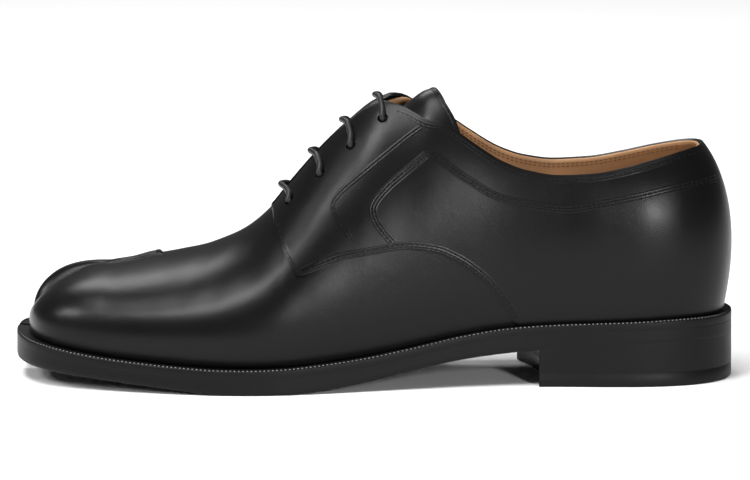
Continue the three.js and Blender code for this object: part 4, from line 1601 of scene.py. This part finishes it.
class DERBY_OT_stage(bpy.types.Operator):
    """Set up the pale floor, the soft studio lights and the camera"""

    bl_idname = "derby.stage"
    bl_label = "Stage"

    def execute(self, context):
        scene = context.scene
        bm = bmesh.new()
        bmesh.ops.create_grid(bm, x_segments=1, y_segments=1, size=4.0)
        mesh = bpy.data.meshes.new("floor")
        bm.to_mesh(mesh)
        bm.free()
        floor = bpy.data.objects.new("floor", mesh)
        context.collection.objects.link(floor)
        material, shader, where = new_material("floor_paper", tuple(colours(context).floor))
        paper = noise_into(material, where, 6.0, 2.0)
        link(material, spread_value(material, paper.outputs["Fac"], 0.75, 0.9), shader.inputs["Roughness"])
        mesh.materials.append(material)

        world = bpy.data.worlds.new("studio")
        world.use_nodes = True
        sky = world.node_tree.nodes["Background"]
        sky.inputs["Color"].default_value = (1.0, 1.0, 1.0, 1.0)
        sky.inputs["Strength"].default_value = 0.1
        scene.world = world
        scene.view_settings.view_transform = "Standard"

        for name, kind, place_, aim, size, power in LIGHTS:
            light = bpy.data.lights.new(name, kind)
            light.energy = power
            if kind == "SUN":
                light.angle = math.radians(size[0])
            else:
                light.shape = "RECTANGLE"
                light.size, light.size_y = size
            lamp = bpy.data.objects.new(name, light)
            lamp.location = place_
            lamp.rotation_euler = (Vector(aim) - Vector(place_)).to_track_quat("-Z", "Y").to_euler()
            context.collection.objects.link(lamp)

        lens = bpy.data.cameras.new("camera")
        lens.sensor_width = 36.0
        lens.lens = CAMERA_LENS
        camera = bpy.data.objects.new("camera", lens)
        tilt = math.radians(CAMERA_TILT)
        target = Vector(CAMERA_AIM)
        camera.location = target + Vector((0.0, -math.cos(tilt), math.sin(tilt))) * CAMERA_DISTANCE
        camera.rotation_euler = (target - camera.location).to_track_quat("-Z", "Y").to_euler()
        context.collection.objects.link(camera)
        scene.camera = camera
        return {"FINISHED"}


# Panel and registration


class DerbySizes(bpy.types.PropertyGroup):
    """Sizes of the shoe that the pieces are built from"""

    length: FloatProperty(name="Length", description="Sole length", default=0.3, unit="LENGTH")
    ball_width: FloatProperty(
        name="Ball width", description="Sole width that the outline's shares refer to", default=0.107, unit="LENGTH")
    instep_height: FloatProperty(
        name="Instep height", description="Height that the levels refer to", default=0.118, unit="LENGTH")
    leather: FloatProperty(
        name="Leather", description="Thickness of the upper with its lining", default=0.0018, unit="LENGTH")
    quarter_lift: FloatProperty(
        name="Quarter step", description="How far the quarters stand proud of the vamp", default=0.001, unit="LENGTH")
    cleft_gap: FloatProperty(
        name="Cleft gap", description="Width of the cleft between the toe lobes", default=0.0024, unit="LENGTH")
    seat_gap: FloatProperty(
        name="Seat gap", description="Clearance between upper and welt", default=0.0003, unit="LENGTH")
    heel_margin: FloatProperty(
        name="Heel margin", description="Distance from the sole edge to the upper at the heel", default=0.0048,
        unit="LENGTH")
    feather_margin: FloatProperty(
        name="Feather margin", description="Distance from the sole edge to the upper at the forefoot",
        default=0.006, unit="LENGTH")
    collar_gap: FloatProperty(
        name="Facing gap, top", description="Gap between the facings at the collar", default=0.016, unit="LENGTH")
    throat_gap: FloatProperty(
        name="Facing gap, throat", description="Gap between the facings at the throat", default=0.010, unit="LENGTH")
    seam_height: FloatProperty(
        name="Toe seam", description="Height of the pinched seam behind the cleft", default=0.0019, unit="LENGTH")
    welt_width: FloatProperty(name="Welt width", description="Width of the welt", default=0.0096, unit="LENGTH")
    welt_thickness: FloatProperty(
        name="Welt thickness", description="Thickness of the welt", default=0.0034, unit="LENGTH")
    stitch_pitch: FloatProperty(
        name="Stitch pitch", description="Distance between stitches of the upper", default=0.002, unit="LENGTH")
    lace_diameter: FloatProperty(
        name="Lace", description="Diameter of the round lace", default=0.0025, unit="LENGTH")


class DerbyColours(bpy.types.PropertyGroup):
    """Colours of the leathers, thread and lace"""

    calf: FloatVectorProperty(
        name="Calf", description="Black calf of the upper", default=(0.0032, 0.0032, 0.0035), subtype="COLOR", min=0,
        max=1)
    edge: FloatVectorProperty(
        name="Edge", description="Dyed sole and heel edge", default=(0.004, 0.004, 0.0042), subtype="COLOR", min=0,
        max=1)
    lining: FloatVectorProperty(
        name="Lining", description="Tan lining leather", default=(0.36, 0.19, 0.085), subtype="COLOR", min=0, max=1)
    lace: FloatVectorProperty(
        name="Lace", description="Waxed lace", default=(0.010, 0.010, 0.011), subtype="COLOR", min=0, max=1)
    thread: FloatVectorProperty(
        name="Thread", description="Stitches of the upper", default=(0.002, 0.002, 0.0022), subtype="COLOR", min=0,
        max=1)
    lining_thread: FloatVectorProperty(
        name="Lining thread", description="Stitches of the lining", default=(0.13, 0.06, 0.028), subtype="COLOR",
        min=0, max=1)
    # Light grey welt thread, paler than the upper's black thread: partly the thread's colour, partly a painted
    # highlight of the wheeled welt
    welt_thread: FloatVectorProperty(
        name="Welt thread", description="Stitches of the welt", default=(0.30, 0.29, 0.27), subtype="COLOR", min=0,
        max=1)
    floor: FloatVectorProperty(
        name="Floor", description="Pale studio floor", default=(0.9, 0.9, 0.9), subtype="COLOR", min=0, max=1)


STEPS = (
    DERBY_OT_stage,
    DERBY_OT_vamp,
    DERBY_OT_toe_seam,
    DERBY_OT_quarters,
    DERBY_OT_lining,
    DERBY_OT_tongue,
    DERBY_OT_welt,
    DERBY_OT_outsole,
    DERBY_OT_heel,
    DERBY_OT_insole,
    DERBY_OT_stitches,
    DERBY_OT_lace,
)


class DERBY_PT_panel(bpy.types.Panel):
    """Sizes, colours and building steps of the shoe"""

    bl_idname = "DERBY_PT_panel"
    bl_label = "Derby Shoe"
    bl_space_type = "VIEW_3D"
    bl_region_type = "UI"
    bl_category = "Derby Shoe"

    def draw(self, context):
        for group in (context.scene.derby_sizes, context.scene.derby_colours):
            box = self.layout.box()
            for prop in group.bl_rna.properties:
                if prop.identifier not in {"rna_type", "name"}:
                    box.prop(group, prop.identifier)
        for step in STEPS:
            self.layout.operator(step.bl_idname)


CLASSES = (DerbySizes, DerbyColours, *STEPS, DERBY_PT_panel)


def register():
    for cls in CLASSES:
        bpy.utils.register_class(cls)
    bpy.types.Scene.derby_sizes = PointerProperty(type=DerbySizes)
    bpy.types.Scene.derby_colours = PointerProperty(type=DerbyColours)


def unregister():
    del bpy.types.Scene.derby_colours
    del bpy.types.Scene.derby_sizes
    for cls in reversed(CLASSES):
        bpy.utils.unregister_class(cls)


def main():
    """Build the whole shoe."""
    register()
    for step in STEPS:
        group, name = step.bl_idname.split(".")
        getattr(getattr(bpy.ops, group), name)()


if __name__ == "__main__":
    main()
